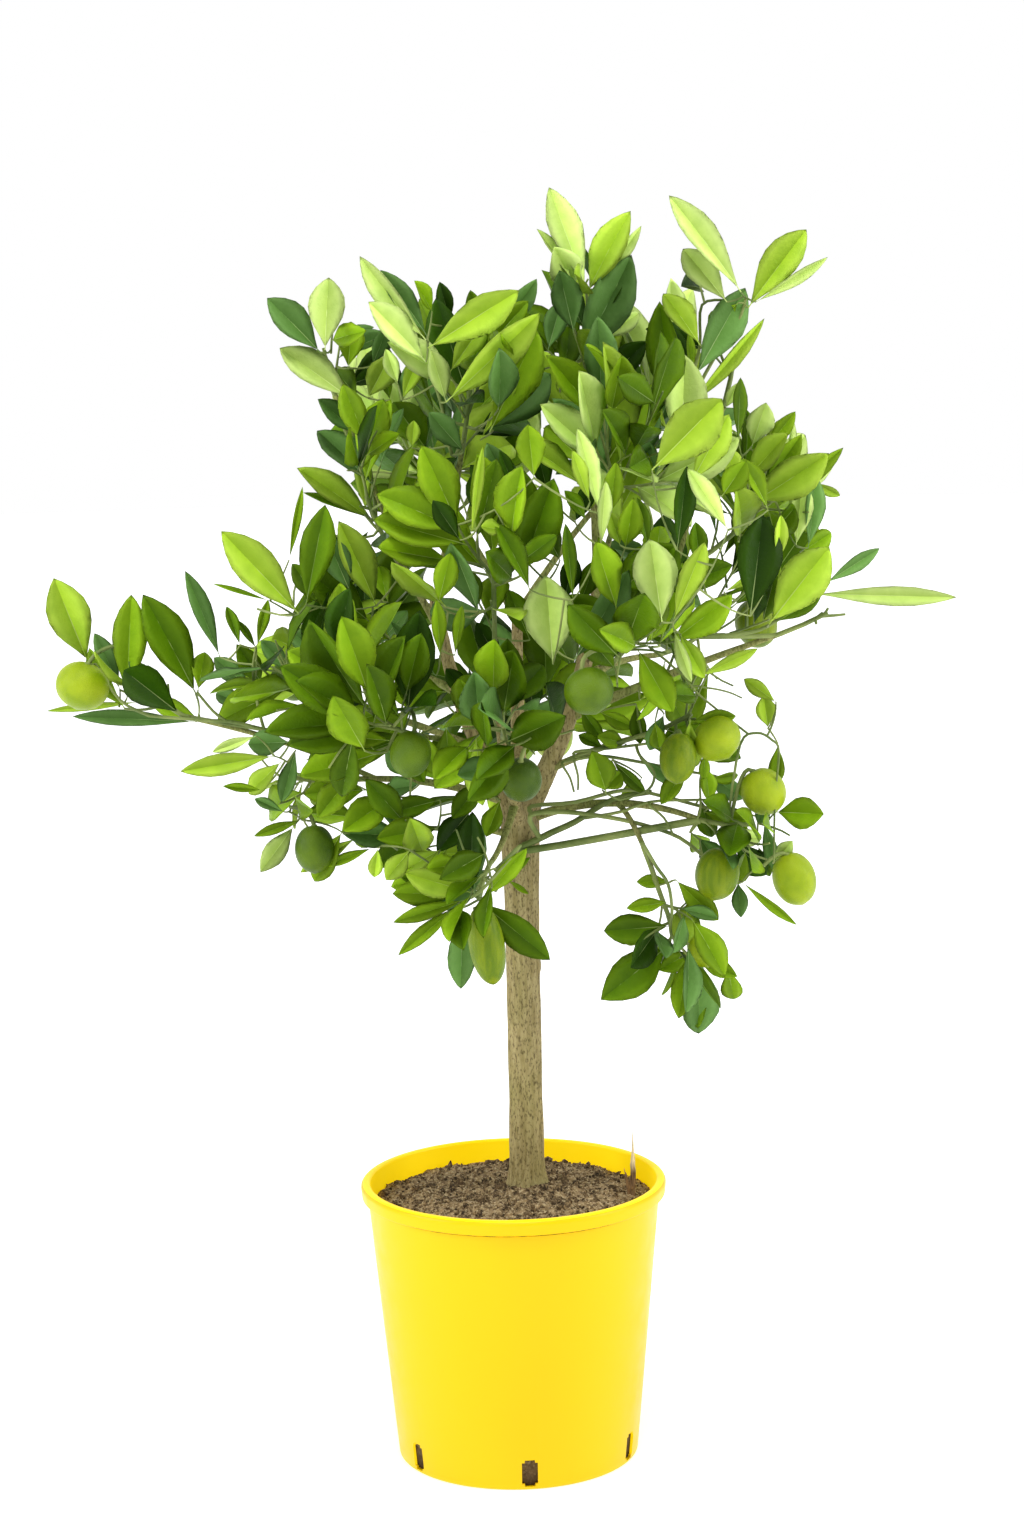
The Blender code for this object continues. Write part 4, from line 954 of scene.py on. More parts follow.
def bowed(twig, rng):
    """A shoot's own line: the straight run from start to end, bowed a little to one side."""
    start, end = twig.points[0], twig.points[-1]
    aside = Vector((rng.uniform(-1, 1), rng.uniform(-1, 1), rng.uniform(-1.2, 0.2)))
    lean = start.lerp(end, 0.5) + aside * (0.14 * (end - start).length)
    return Twig(arc(start, lean, end, FINE_STEPS), twig.thick, twig.thin, twig.tip)


# The front view: a place in it is a column and a row of a frame VIEW_SIZE across.
VIEW_SIZE = (1024, 1536)
LENS = 80.0
SENSOR = 36.0
CAMERA_PLACE = Vector((0.0055, -2.6, 0.973))
CAMERA_PITCH = math.radians(9.27)
CAMERA_ROLL = math.radians(1.17)
level_right = Vector((1.0, 0.0, 0.0))
level_up = Vector((0.0, math.sin(CAMERA_PITCH), math.cos(CAMERA_PITCH)))
view_right = level_right * math.cos(CAMERA_ROLL) - level_up * math.sin(CAMERA_ROLL)
view_up = level_right * math.sin(CAMERA_ROLL) + level_up * math.cos(CAMERA_ROLL)
view_ahead = view_up.cross(view_right)
VIEW_SPAN = LENS / SENSOR * VIEW_SIZE[1]


def seen_at(place, depth):
    """The place in the tree's own space that stands at a column and row of the view."""
    column, row = place
    ray = (view_right * (column - VIEW_SIZE[0] / 2) + view_up * (VIEW_SIZE[1] / 2 - row)
           + view_ahead * VIEW_SPAN)
    return CAMERA_PLACE + ray * ((depth - CAMERA_PLACE.y) / ray.y)


def in_view(points):
    """The columns and rows where places in the tree's own space are seen."""
    away = np.array(points) - np.array(CAMERA_PLACE)
    ahead = away @ np.array(view_ahead)
    return np.stack((VIEW_SIZE[0] / 2 + VIEW_SPAN * (away @ np.array(view_right)) / ahead,
                     VIEW_SIZE[1] / 2 - VIEW_SPAN * (away @ np.array(view_up)) / ahead), axis=1)


# Twigs that are seen one by one: cloud, depth, radii, and the places they pass in the view
SEEN_TWIGS = (
    ("top", 0.000, 0.0016, 0.0011, ((600, 420), (597, 350), (589, 318), (586, 288))),
    ("top_right", -0.010, 0.0018, 0.0011, ((684, 430), (690, 405), (712, 362), (738, 322),
                                           (746, 298))),
    ("top_right", -0.010, 0.0014, 0.0010, ((690, 405), (694, 372), (700, 345), (702, 305),
                                           (727, 300))),
    ("top_left", 0.000, 0.0018, 0.0011, ((374, 520), (370, 470), (356, 425), (350, 396),
                                         (330, 366), (323, 348))),
    ("top_mid", -0.060, 0.0016, 0.0010, ((452, 455), (440, 400), (430, 372), (427, 340))),
    ("far_left", -0.040, 0.0017, 0.0012, ((284, 733), (262, 729), (232, 722), (200, 720),
                                          (150, 716))),
    ("far_left", -0.040, 0.0012, 0.0010, ((226, 721), (213, 711), (197, 692))),
    ("far_left", -0.040, 0.0013, 0.0010, ((150, 716), (120, 700), (96, 664))),
    ("far_left", -0.040, 0.0013, 0.0009, ((264, 729), (258, 706), (253, 672), (256, 646))),
    ("right", -0.045, 0.0019, 0.0012, ((700, 637), (738, 634), (768, 626), (812, 594))),
    ("right", -0.045, 0.0016, 0.0010, ((690, 628), (712, 616), (736, 600), (770, 566))),
    ("right_low", -0.055, 0.0011, 0.0008, ((740, 745), (757, 733), (772, 740), (779, 752),
                                           (775, 800), (774, 862))),
    ("right_low", -0.055, 0.0009, 0.0006, ((694, 690), (708, 688), (728, 692), (742, 698))),
    ("hanging", -0.070, 0.0015, 0.0011, ((641, 842), (656, 866), (668, 884), (672, 910),
                                         (671, 934), (688, 955))),
    ("low_front", -0.125, 0.0016, 0.0011, ((520, 846), (498, 872), (482, 890), (471, 898))),
    ("right_low", -0.010, 0.0032, 0.0020, ((528, 850), (545, 836), (575, 822), (612, 800),
                                           (652, 792))),
    ("right_low", -0.020, 0.0022, 0.0014, ((530, 816), (560, 812), (600, 816), (640, 824),
                                           (680, 838),
                                          (712, 864))),
    ("right_low", -0.015, 0.0018, 0.0012, ((532, 806), (575, 802), (625, 790), (662, 796),
                                           (700, 806),
                                          (730, 812))),
    ("right_low", -0.020, 0.0014, 0.0009, ((585, 818), (620, 812), (650, 802), (690, 800),
                                           (722, 800))),
    ("right_low", -0.030, 0.0012, 0.0008, ((650, 806), (664, 818), (674, 836))),
    ("right_low", -0.030, 0.0011, 0.0008, ((690, 832), (700, 812), (700, 780), (706, 756))),
    ("right_mid", -0.030, 0.0016, 0.0010, ((566, 760), (600, 756), (640, 762), (680, 770),
                                           (716, 776))),
    ("right_mid", -0.030, 0.0014, 0.0009, ((575, 752), (612, 748), (660, 742), (694, 738))),
    ("right_mid", -0.035, 0.0011, 0.0008, ((562, 764), (570, 778), (574, 792))),
    ("right_mid", -0.035, 0.0011, 0.0008, ((574, 760), (578, 776), (578, 790))),
    ("right_mid", -0.040, 0.0013, 0.0009, ((640, 756), (654, 772), (648, 790), (620, 800))),
    ("right_mid", -0.040, 0.0012, 0.0008, ((694, 738), (686, 720), (690, 690), (702, 664))),
    ("right_mid", -0.050, 0.0014, 0.0009, ((640, 690), (664, 676), (676, 650), (690, 628))),
)

limb_balls = [ball for limb in limbs.values() for ball in balls_along(*limb[:3])]
twigs = {mass.name: grow_twigs(mass, np.array(limb_balls)) for mass in MASSES}
wood = []          # every twig and stalk as it is drawn
fruit_balls = []
for fruit in FRUITS:
    curve = grow_stalk(fruit, twigs[fruit.mass])
    wood.append(Twig(arc(*curve, FINE_STEPS), TWIG_RADIUS * 1.1, TWIG_RADIUS * 1.25))
    fruit_balls.append((*fruit.middle, max(fruit.diameter, fruit.length) / 2))
    fruit_balls += balls_along(arc(*curve, STALK_POINTS)[1:], TWIG_RADIUS, TWIG_RADIUS)
bow_seed = random.Random(BOW_SEED)
shoots = {}        # the bowed line of every shoot, by cloud
for mass in MASSES:
    stem = twigs[mass.name][0]
    sunk = (stem.points[1] - stem.points[0]).normalized() * STEM_SINK
    wood.append(Twig([stem.points[0] - sunk]
                     + stem.points[1:], BOUGH_TIP_RADIUS, STEM_TIP_RADIUS))
    shoots[mass.name] = [bowed(twig, bow_seed) for twig in twigs[mass.name][1:]]


def nearest_wood(lines, place):
    """The place on any of the lines that is nearest to a given place."""
    spots = [spot(line.points, n / 16)[0] for line in lines for n in range(17)]
    return min(spots, key=lambda other: (other - place).length)


def eased(points, steps):
    """A smooth line through a few places."""
    line = []
    for n in range(len(points) - 1):
        before, after = points[max(n - 1, 0)], points[min(n + 2, len(points) - 1)]
        first, last = points[n], points[n + 1]
        line += interpolate_bezier(first, first + (last - before) / 6,
                                   last - (after - first) / 6, last, steps)[:-1]
    return line + [points[-1]]


carried = {mass.name: [twigs[mass.name][0]] + shoots[mass.name] for mass in MASSES}
for name, depth, thick, thin, places in SEEN_TWIGS:
    points = [seen_at(place, depth) for place in places]
    start = nearest_wood(carried[name], points[0])
    if (start - points[0]).length > LEAF_GAP:
        points.insert(0, start)
    line = Twig(eased(points, 5), thick, thin)
    carried[name].append(line)
    wood.append(line)


def polylines(name, lines):
    """A mesh of edges through the points of every line, with a thickness at each point."""
    verts, edges, thick = [], [], []
    for line in lines:
        first, last = len(verts), len(line.points) - 1
        for n, point in enumerate(line.points):
            verts.append(point)
            thick.append(line.thick + (line.thin - line.thick) * n / last)
            if n:
                edges.append((first + n - 1, first + n))
    mesh = bpy.data.meshes.new(name)
    mesh.from_pydata(verts, edges, [])
    mesh.attributes.new("thick", "FLOAT", "POINT").data.foreach_set("value", thick)
    return mesh


def twig_tree():
    """Round tubes along the edges of a mesh, as thick as it says at each point."""
    tree, inside, outside = node_tree("draw_twigs", "GeometryNodeTree", {
        "Geometry": ("Geometry",), "Sides": ("Int", 6), "Material": ("Material",)},
        ("Geometry", "Geometry"))
    new = tree.nodes.new
    curve, section = new("GeometryNodeMeshToCurve"), new("GeometryNodeCurvePrimitiveCircle")
    tube, thick = new("GeometryNodeCurveToMesh"), new("GeometryNodeInputNamedAttribute")
    section.inputs["Radius"].default_value = 1.0
    tube.inputs["Fill Caps"].default_value = True
    thick.data_type = "FLOAT"
    thick.inputs["Name"].default_value = "thick"
    smooth, paint = new("GeometryNodeSetShadeSmooth"), new("GeometryNodeSetMaterial")
    wire(tree, (inside, "Geometry", curve, "Mesh"), (inside, "Sides", section, "Resolution"),
         (curve, "Curve", tube, "Curve"), (section, "Curve", tube, "Profile Curve"),
         (thick, "Attribute", tube, "Scale"), (tube, "Mesh", smooth, "Geometry"),
         (smooth, "Geometry", paint, "Geometry"), (inside, "Material", paint, "Material"),
         (paint, "Geometry", outside, "Geometry"))
    return tree


# ------------------------------------------------------------------ fruit
# Limequats at every stage: small firm citrus, round to long, with fine oil pores, a
# button where the stalk enters and a slight point at the other end.

FRUIT_SIDES = 28
FRUIT_RINGS = 18
FRUIT_DIMPLE = 0.0012
FRUIT_NIPPLE = 0.0011
BUTTON_RADII = (0.0026, 0.0022, 0.0013)
PEELS = {   # ripeness: fuller tint, paler tint
    "light": ((0.215, 0.320, 0.002), (0.360, 0.460, 0.010)),
    "long": ((0.112, 0.190, 0.001), (0.200, 0.272, 0.003)),
    "green": ((0.042, 0.092, 0.001), (0.100, 0.175, 0.002)),
    "dark": ((0.030, 0.070, 0.002), (0.075, 0.135, 0.004)),
}


def fruit_mesh(bm, fruit):
    """One fruit about its own axis, with a dimple at the stalk and a nipple at the tip."""
    axis = Vector(fruit.stalk).normalized()
    turn = UP.rotation_difference(axis).to_matrix().to_4x4()
    place = Matrix.Translation(fruit.middle) @ turn
    rings = []
    for n in range(FRUIT_RINGS + 1):
        angle = math.pi * n / FRUIT_RINGS
        radius = fruit.diameter / 2 * math.sin(angle) ** 0.92
        height = -fruit.length / 2 * math.cos(angle)
        if n != FRUIT_RINGS / 2:
            end = FRUIT_NIPPLE if n < FRUIT_RINGS / 2 else FRUIT_DIMPLE
            height -= end * math.exp(-(radius / 0.0030) ** 2)
        if n in (0, FRUIT_RINGS):
            rings.append([bm.verts.new(place @ Vector((0.0, 0.0, height)))])
            continue
        rings.append([bm.verts.new(place @ Vector((radius * math.cos(math.tau * k / FRUIT_SIDES),
                                                   radius * math.sin(math.tau * k / FRUIT_SIDES),
                                                   height))) for k in range(FRUIT_SIDES)])
    for low, high in zip(rings, rings[1:]):
        for k in range(FRUIT_SIDES):
            n = (k + 1) % FRUIT_SIDES
            if len(low) == 1:
                bm.faces.new((low[0], high[n], high[k]))
            elif len(high) == 1:
                bm.faces.new((high[0], low[k], low[n]))
            else:
                bm.faces.new((low[k], low[n], high[n], high[k]))
    top = place @ Vector((0.0, 0.0, fruit.length / 2 - FRUIT_DIMPLE))
    return [top, top + axis * 0.0012, top + axis * 0.0020]


def peel_finish(name, full, pale, streak):
    """Smooth waxy peel with oil pores and a soft change of ripeness, in streaks if asked."""
    material = finish_of(name, full, 0.38, 0.20)
    ripeness = mottled(material, 42.0, 4.0, 0.36, 0.64, stretch=streak)
    feed(material, "Base Color", between(material, ripeness, full, pale))
    raised(material, mottled(material, 1300.0, 1.0, 0.3, 0.6), 0.00018)
    return material


fruit_pieces = []
buttons = bmesh.new()
for tone, (full, pale) in PEELS.items():
    bm = bmesh.new()
    for fruit in FRUITS:
        if fruit.tone == tone:
            ring_tube(buttons, fruit_mesh(bm, fruit), BUTTON_RADII, 10)
    mesh = mesh_of("fruit_" + tone, bm)
    mesh.shade_smooth()
    streak = (5.0, 5.0, 0.6) if tone == "long" else (1.0, 1.0, 1.0)
    mesh.materials.append(peel_finish("peel_" + tone, full, pale, streak))
    fruit_pieces.append(put("fruit_" + tone, mesh))
fruit_buttons = put("fruit_buttons", mesh_of("fruit_buttons", buttons))

# ------------------------------------------------------------------ leaves
# Leathery pointed leaves in sprays, a little folded along the midrib and bent back. They
# grow by the golden angle from the shoots, and finer side twigs carry the spray on.

LEAF_WIDTH = 0.60
LEAF_WIDEST = 0.45
LEAF_THICKNESS = 0.024
LEAF_FOLD = 0.20
LEAF_TRIES = ((1.0, 0.0), (1.0, 0.8), (1.0, -0.8), (0.85, 0.0), (0.85, 1.6), (0.75, -1.6))
LEAF_LIFT = 0.6
FACE_SIDEWAYS = 0.45
LEAF_PLACES = ((0.99, 0.12, 1.10), (0.88, 0.65, 1.0), (0.75, 0.80, 1.0), (0.60, 0.95, 0.95),
               (0.42, 1.05, 0.90))
LEAF_APART = 0.0030
SEEN_SEED = 17
FORM_SEED = 5
SEEN_STEP = 0.0030                # how much further back each leaf of a seen spray stands
FOOT_BACK = (0.000, 0.024)        # how far behind its spray's depth a leaf's foot may stand
TIP_BACK = (-0.014, 0.034)        # and its tip
BLADE_WIDTH = 0.44                # a blade's width, of its length
SIDE_TWIGS = 7                    # side twigs tried from each shoot
SIDE_LEAF = 0.92                  # size of their leaves, of the cloud's
SAME_TONE = 0.6                   # how many of their leaves have their shoot's tone
SIDE_PLACES = ((0.99, 0.15, 1.0), (0.80, 0.75, 0.95), (0.55, 0.95, 0.90), (0.30, 1.10, 0.80))
OUTLINE = ((0.06, 0.05), (0.17, 0.29), (0.30, 0.62), (0.43, 0.88), (0.57, 1.0), (0.71, 0.93),
           (0.84, 0.65), (0.94, 0.30), (1.0, 0.0))
COLUMNS = 5
BLADE_THICKNESS = 0.012
RIB_RADII = (0.022, 0.017, 0.017, 0.015, 0.012, 0.009, 0.003)
Leaf = namedtuple("Leaf", "base along face length width")

TONES = {   # base colour near the midrib, and towards the margin
    "young": ((0.48, 0.66, 0.13), (0.60, 0.76, 0.24)),
    "bright": ((0.30, 0.47, 0.022), (0.39, 0.56, 0.058)),
    "mid": ((0.165, 0.300, 0.004), (0.245, 0.400, 0.014)),
    "deep": ((0.066, 0.142, 0.001), (0.112, 0.208, 0.004)),
    "blue": ((0.092, 0.200, 0.038), (0.140, 0.270, 0.070)),
    # dark: painted shade, the colour of leaves in the crown's shadow given to the leaves
    # themselves
    "dark": ((0.017, 0.052, 0.001), (0.032, 0.082, 0.002)),
}
RIB_TINT = (0.42, 0.52, 0.17)
RIB_PALER = 0.45                  # how far a midrib goes from its blade's tint to that one
LEAF_PATCH = (0.70, 0.78, 0.62)   # what a patch leaves of the tint
LEAF_SHADES = (0.80, 1.22)        # from the dullest leaf to the brightest
PAINTED_HALF_LIGHT = (0.80, 1.14)        # painted light: the value of a blade's shaded half and of its lit half
TWIG_SIDES = 7
TWIG_DARK = (0.085, 0.135, 0.018)
TWIG_MEAN = (0.15, 0.21, 0.04)
TWIG_PALE = (0.26, 0.32, 0.085)
BANDS = (0.56, 0.76)              # the middle band of the crown, in height
SPRAY_MIX = {   # how many sprays of each tone, by the height of the cloud
    # the dark sprays are painted shade, most of them in the middle band
    "high": {"young": 2, "bright": 4, "mid": 5, "deep": 4, "blue": 3, "dark": 2},
    "middle": {"young": 0, "bright": 2, "mid": 6, "deep": 7, "blue": 4, "dark": 4},
    "low": {"young": 0, "bright": 2, "mid": 7, "deep": 5, "blue": 3, "dark": 1},
}


SEEN_SPRAYS = (   # cloud, depth, and leaves that are seen one by one: foot and tip in the
    # view (column, row), width in hundredths of the length, turn about the length, tone
    ("top", -0.040, (
        (586, 288, 548, 188, 33, 20, "young"), (588, 292, 625, 213, 40, -15, "bright"),
        (597, 288, 642, 226, 20, 30, "young"), (574, 287, 557, 251, 70, 0, "young"),
        (572, 280, 539, 227, 28, 40, "young"), (578, 360, 633, 260, 40, 15, "blue"),
        (584, 328, 562, 284, 50, 10, "blue"), (600, 340, 641, 311, 42, 0, "young"),
        (563, 378, 573, 322, 44, 20, "deep"), (548, 350, 561, 303, 44, 0, "blue"),
        (572, 440, 612, 346, 38, 25, "mid"), (560, 392, 600, 352, 28, 30, "bright"),
        (612, 374, 642, 345, 50, 0, "dark"), (668, 430, 627, 376, 46, -20, "bright"),
        (610, 350, 621, 298, 24, 40, "mid"))),
    ("top_right", -0.040, (
        (741, 292, 671, 190, 25, 15, "young"), (727, 302, 682, 246, 42, 0, "young"),
        (700, 345, 664, 290, 42, 15, "bright"), (748, 308, 806, 227, 37, -10, "bright"),
        (756, 302, 829, 258, 17, 30, "young"), (696, 375, 744, 288, 38, 20, "blue"),
        (738, 303, 711, 330, 52, 0, "mid"), (686, 410, 768, 320, 15, 35, "bright"),
        (676, 416, 657, 304, 30, -25, "deep"), (684, 408, 673, 318, 30, 25, "dark"),
        (726, 408, 737, 384, 40, 0, "young"), (690, 380, 690, 330, 22, 30, "mid"))),
    ("top_left", -0.040, (
        (325, 350, 328, 275, 50, 0, "young"), (320, 352, 268, 297, 48, 20, "blue"),
        (352, 400, 280, 346, 42, 25, "young"), (358, 434, 319, 399, 40, 20, "blue"),
        (372, 484, 318, 426, 44, 25, "blue"), (373, 521, 300, 466, 34, 25, "bright"),
        (366, 512, 361, 448, 26, 0, "bright"), (372, 519, 304, 490, 16, 35, "deep"),
        (348, 368, 352, 320, 58, 10, "mid"), (372, 366, 390, 322, 40, 30, "blue"),
        (358, 398, 334, 368, 50, 0, "deep"), (368, 398, 392, 352, 42, 20, "bright"),
        (390, 400, 384, 372, 40, 0, "deep"))),
    ("top_mid", -0.105, (
        (426, 340, 355, 258, 26, -30, "young"), (427, 336, 384, 269, 30, 20, "blue"),
        (426, 362, 370, 301, 42, 25, "young"), (428, 348, 519, 289, 36, 25, "bright"),
        (446, 402, 541, 314, 30, 30, "bright"), (446, 402, 432, 350, 44, 20, "young"),
        (490, 432, 536, 330, 42, 25, "mid"), (432, 312, 418, 282, 36, 35, "mid"),
        (450, 372, 488, 316, 34, 20, "bright"), (402, 400, 420, 352, 38, 20, "bright"),
        (398, 384, 386, 350, 42, 0, "young"), (464, 452, 428, 412, 46, 10, "blue"),
        (500, 328, 537, 283, 36, 25, "blue"), (480, 440, 520, 372, 16, 20, "bright"),
        (412, 448, 414, 420, 52, 0, "bright"), (450, 324, 440, 282, 40, 10, "dark"),
        (478, 330, 470, 290, 40, 10, "deep"))),
    ("front_mid", -0.178, (
        (534, 478, 528, 424, 56, 0, "mid"), (600, 514, 579, 426, 24, 20, "young"),
        (601, 546, 605, 480, 22, 30, "young"), (590, 502, 571, 450, 30, 30, "bright"),
        (610, 514, 616, 466, 36, 0, "mid"), (471, 537, 483, 446, 12, 20, "bright"),
        (573, 600, 566, 523, 20, 20, "deep"), (530, 590, 500, 520, 34, 30, "deep"),
        (460, 540, 432, 500, 44, 10, "dark"), (505, 530, 480, 527, 60, 20, "bright"),
        (553, 664, 546, 577, 60, 0, "young"), (574, 660, 633, 574, 34, 25, "blue"),
        (438, 604, 451, 553, 48, 10, "mid"), (440, 656, 437, 600, 26, 20, "mid"),
        (455, 655, 462, 605, 26, -20, "mid"), (436, 676, 393, 622, 26, 20, "blue"),
        (514, 488, 500, 450, 36, 20, "dark"), (575, 522, 592, 482, 42, 10, "dark"),
        (586, 520, 566, 490, 46, 20, "deep"))),
    # A back layer of deep and dark leaves fills the crown behind the front leaves; the dark ones
    # are painted shade.
    ("front_mid", -0.100, (
        (580, 604, 596, 560, 46, 10, "deep"), (564, 602, 574, 556, 46, 10, "dark"),
        (480, 606, 468, 570, 46, 10, "deep"), (548, 494, 536, 446, 44, 10, "dark"),
        (530, 640, 508, 590, 44, 10, "deep"), (500, 664, 476, 622, 44, 10, "dark"),
        (520, 690, 494, 656, 48, 10, "deep"), (470, 700, 446, 668, 48, 10, "dark"),
        (500, 570, 518, 534, 44, 10, "dark"), (560, 560, 540, 520, 44, 10, "deep"))),
    ("front_right", -0.178, (
        (662, 622, 650, 538, 54, 0, "young"), (673, 622, 704, 541, 32, 25, "bright"),
        (728, 530, 688, 467, 30, 10, "young"), (677, 550, 688, 466, 30, 25, "dark"),
        (652, 470, 722, 398, 52, 10, "bright"), (690, 484, 728, 414, 40, 25, "bright"),
        (722, 496, 746, 462, 56, 10, "mid"), (768, 510, 744, 454, 34, 25, "mid"),
        (750, 616, 764, 514, 46, 10, "dark"), (625, 548, 634, 505, 40, 10, "mid"),
        (620, 545, 612, 515, 44, 10, "bright"), (648, 548, 640, 498, 30, 25, "deep"),
        (674, 630, 690, 682, 26, 20, "young"), (680, 634, 704, 678, 44, 10, "bright"),
        (778, 562, 783, 516, 32, 20, "bright"), (700, 676, 758, 648, 22, 20, "bright"),
        (700, 568, 696, 522, 44, 10, "deep"))),
    ("right_high", -0.075, (
        (738, 442, 740, 378, 22, 20, "deep"), (752, 446, 766, 401, 48, 10, "young"),
        (764, 452, 795, 411, 34, 20, "mid"), (764, 486, 802, 435, 36, 20, "mid"),
        (776, 502, 846, 449, 20, 25, "mid"), (796, 546, 803, 478, 38, 10, "young"),
        (808, 548, 818, 475, 32, 20, "blue"), (800, 552, 834, 532, 46, 10, "mid"),
        (812, 482, 841, 497, 30, 20, "bright"))),
    ("right", -0.080, (
        (769, 624, 829, 547, 50, 0, "bright"), (826, 583, 879, 548, 24, 20, "blue"),
        (812, 594, 957, 597, 14, 10, "young"), (724, 592, 772, 566, 20, 20, "bright"),
        (776, 622, 822, 596, 30, 30, "deep"))),
    ("left", -0.105, (
        (299, 614, 222, 531, 37, 10, "bright"), (270, 601, 213, 583, 9, 20, "mid"),
        (306, 605, 325, 504, 34, 10, "deep"), (289, 560, 303, 487, 12, 20, "mid"),
        (376, 606, 344, 523, 38, 20, "bright"), (405, 566, 399, 486, 46, 10, "mid"),
        (350, 592, 326, 535, 48, 10, "blue"), (370, 622, 307, 570, 46, 10, "deep"),
        (375, 686, 329, 612, 50, 10, "bright"), (388, 602, 378, 562, 42, 0, "mid"),
        (392, 640, 352, 618, 50, 10, "mid"), (446, 692, 391, 690, 66, 10, "mid"),
        (322, 606, 292, 564, 42, 10, "deep"), (406, 708, 330, 726, 34, 10, "mid"))),
    ("far_left", -0.040, (
        (88, 662, 53, 577, 44, 10, "bright"), (127, 698, 131, 595, 34, 10, "mid"),
        (196, 694, 147, 596, 38, 15, "deep"), (220, 657, 186, 571, 22, 25, "blue"),
        (120, 690, 96, 630, 30, 25, "blue"), (162, 692, 128, 662, 40, 20, "blue"),
        (198, 690, 206, 650, 55, 10, "mid"), (240, 645, 227, 605, 28, 20, "deep"),
        (256, 648, 238, 620, 24, 20, "deep"), (257, 646, 268, 599, 24, 20, "mid"),
        (252, 690, 214, 658, 44, 10, "blue"), (262, 684, 240, 648, 44, 10, "deep"),
        (290, 672, 262, 640, 44, 10, "blue"), (196, 722, 72, 716, 14, 15, "blue"),
        (200, 720, 150, 700, 36, 10, "mid"), (140, 702, 46, 711, 9, 10, "bright"),
        (248, 706, 214, 692, 44, 10, "blue"), (330, 664, 288, 628, 40, 10, "blue"),
        (262, 690, 300, 668, 40, 20, "mid"))),
    ("left_low", -0.095, (
        (274, 756, 182, 771, 24, 0, "bright"), (290, 742, 247, 744, 62, 0, "blue"),
        (256, 736, 212, 752, 26, 10, "young"), (281, 762, 246, 795, 40, 10, "bright"),
        (262, 790, 224, 786, 22, 10, "mid"), (284, 812, 254, 798, 34, 10, "blue"),
        (296, 750, 281, 802, 34, 0, "blue"), (345, 702, 288, 738, 54, 0, "mid"),
        (302, 820, 254, 836, 22, 10, "mid"), (294, 826, 260, 873, 36, 0, "young"),
        (342, 832, 312, 883, 46, 10, "mid"), (356, 838, 300, 872, 26, 10, "bright"),
        (372, 848, 325, 866, 22, 10, "mid"), (366, 790, 308, 792, 54, 10, "mid"))),
    ("low_left", -0.115, (
        (378, 848, 374, 878, 44, 0, "bright"), (410, 850, 386, 880, 60, 0, "bright"),
        (462, 892, 392, 894, 40, 10, "mid"), (440, 850, 400, 872, 46, 10, "bright"),
        (420, 730, 438, 778, 42, 0, "mid"), (446, 726, 450, 775, 56, 0, "mid"),
        (400, 740, 424, 782, 48, 0, "deep"), (384, 742, 402, 778, 34, 10, "blue"),
        (412, 708, 370, 752, 50, 10, "mid"), (448, 872, 390, 886, 44, 10, "mid"),
        (464, 884, 400, 878, 34, 20, "deep"), (448, 846, 424, 882, 56, 10, "bright"),
        (438, 828, 378, 838, 42, 10, "mid"), (392, 798, 346, 826, 56, 10, "mid"),
        (352, 776, 318, 814, 54, 10, "mid"), (440, 800, 392, 812, 46, 10, "deep"),
        (470, 812, 440, 846, 46, 10, "dark"), (484, 780, 452, 818, 46, 10, "deep"),
        (500, 800, 486, 838, 44, 10, "mid"), (420, 784, 384, 790, 50, 10, "blue"))),
    ("low_front", -0.125, (
        (471, 896, 473, 812, 34, -15, "dark"), (474, 896, 478, 812, 24, 30, "blue"),
        (482, 898, 527, 850, 28, 15, "mid"), (494, 880, 530, 858, 24, 15, "deep"),
        (478, 900, 550, 960, 34, 0, "deep"), (464, 900, 394, 922, 22, 5, "mid"),
        (460, 904, 398, 955, 20, 15, "mid"), (462, 910, 461, 988, 32, 0, "blue"),
        (508, 880, 529, 894, 22, 10, "mid"))),
    ("hanging", -0.070, (
        (670, 926, 603, 931, 46, 0, "deep"), (668, 946, 606, 997, 50, 0, "deep"),
        (668, 902, 627, 908, 34, 10, "mid"), (670, 882, 637, 881, 44, 10, "mid"),
        (676, 880, 719, 922, 40, 10, "mid"), (688, 902, 682, 946, 60, 0, "bright"),
        (688, 955, 678, 1019, 42, -10, "mid"), (698, 956, 700, 1036, 42, -15, "blue"),
        (696, 956, 736, 976, 40, 0, "mid"), (700, 924, 727, 964, 22, 20, "mid"),
        (728, 968, 734, 1001, 44, 10, "mid"), (690, 952, 660, 970, 50, 0, "mid"),
        (690, 958, 697, 1030, 34, 10, "deep"))),
    ("right_low", -0.055, (
        (776, 812, 825, 814, 62, 0, "mid"), (742, 882, 797, 926, 14, 20, "mid"),
        (738, 882, 741, 917, 44, 0, "blue"), (776, 702, 744, 679, 40, 0, "bright"),
        (768, 728, 764, 696, 64, 0, "bright"), (778, 744, 776, 785, 36, 10, "mid"),
        (774, 862, 793, 840, 46, 0, "young"), (724, 838, 764, 838, 44, 0, "young"),
        (770, 800, 758, 824, 56, 10, "blue"), (764, 820, 776, 874, 28, 10, "blue"),
        (776, 790, 740, 790, 60, 10, "mid"), (704, 812, 750, 822, 50, 10, "mid"),
        (700, 798, 712, 840, 40, 10, "deep"), (744, 814, 734, 848, 50, 10, "mid"),
        (734, 842, 766, 874, 54, 10, "dark"), (700, 838, 722, 870, 46, 10, "blue"),
        (690, 832, 706, 852, 60, 10, "mid"), (758, 846, 770, 876, 40, 10, "deep"))),
    ("right_mid", -0.080, (
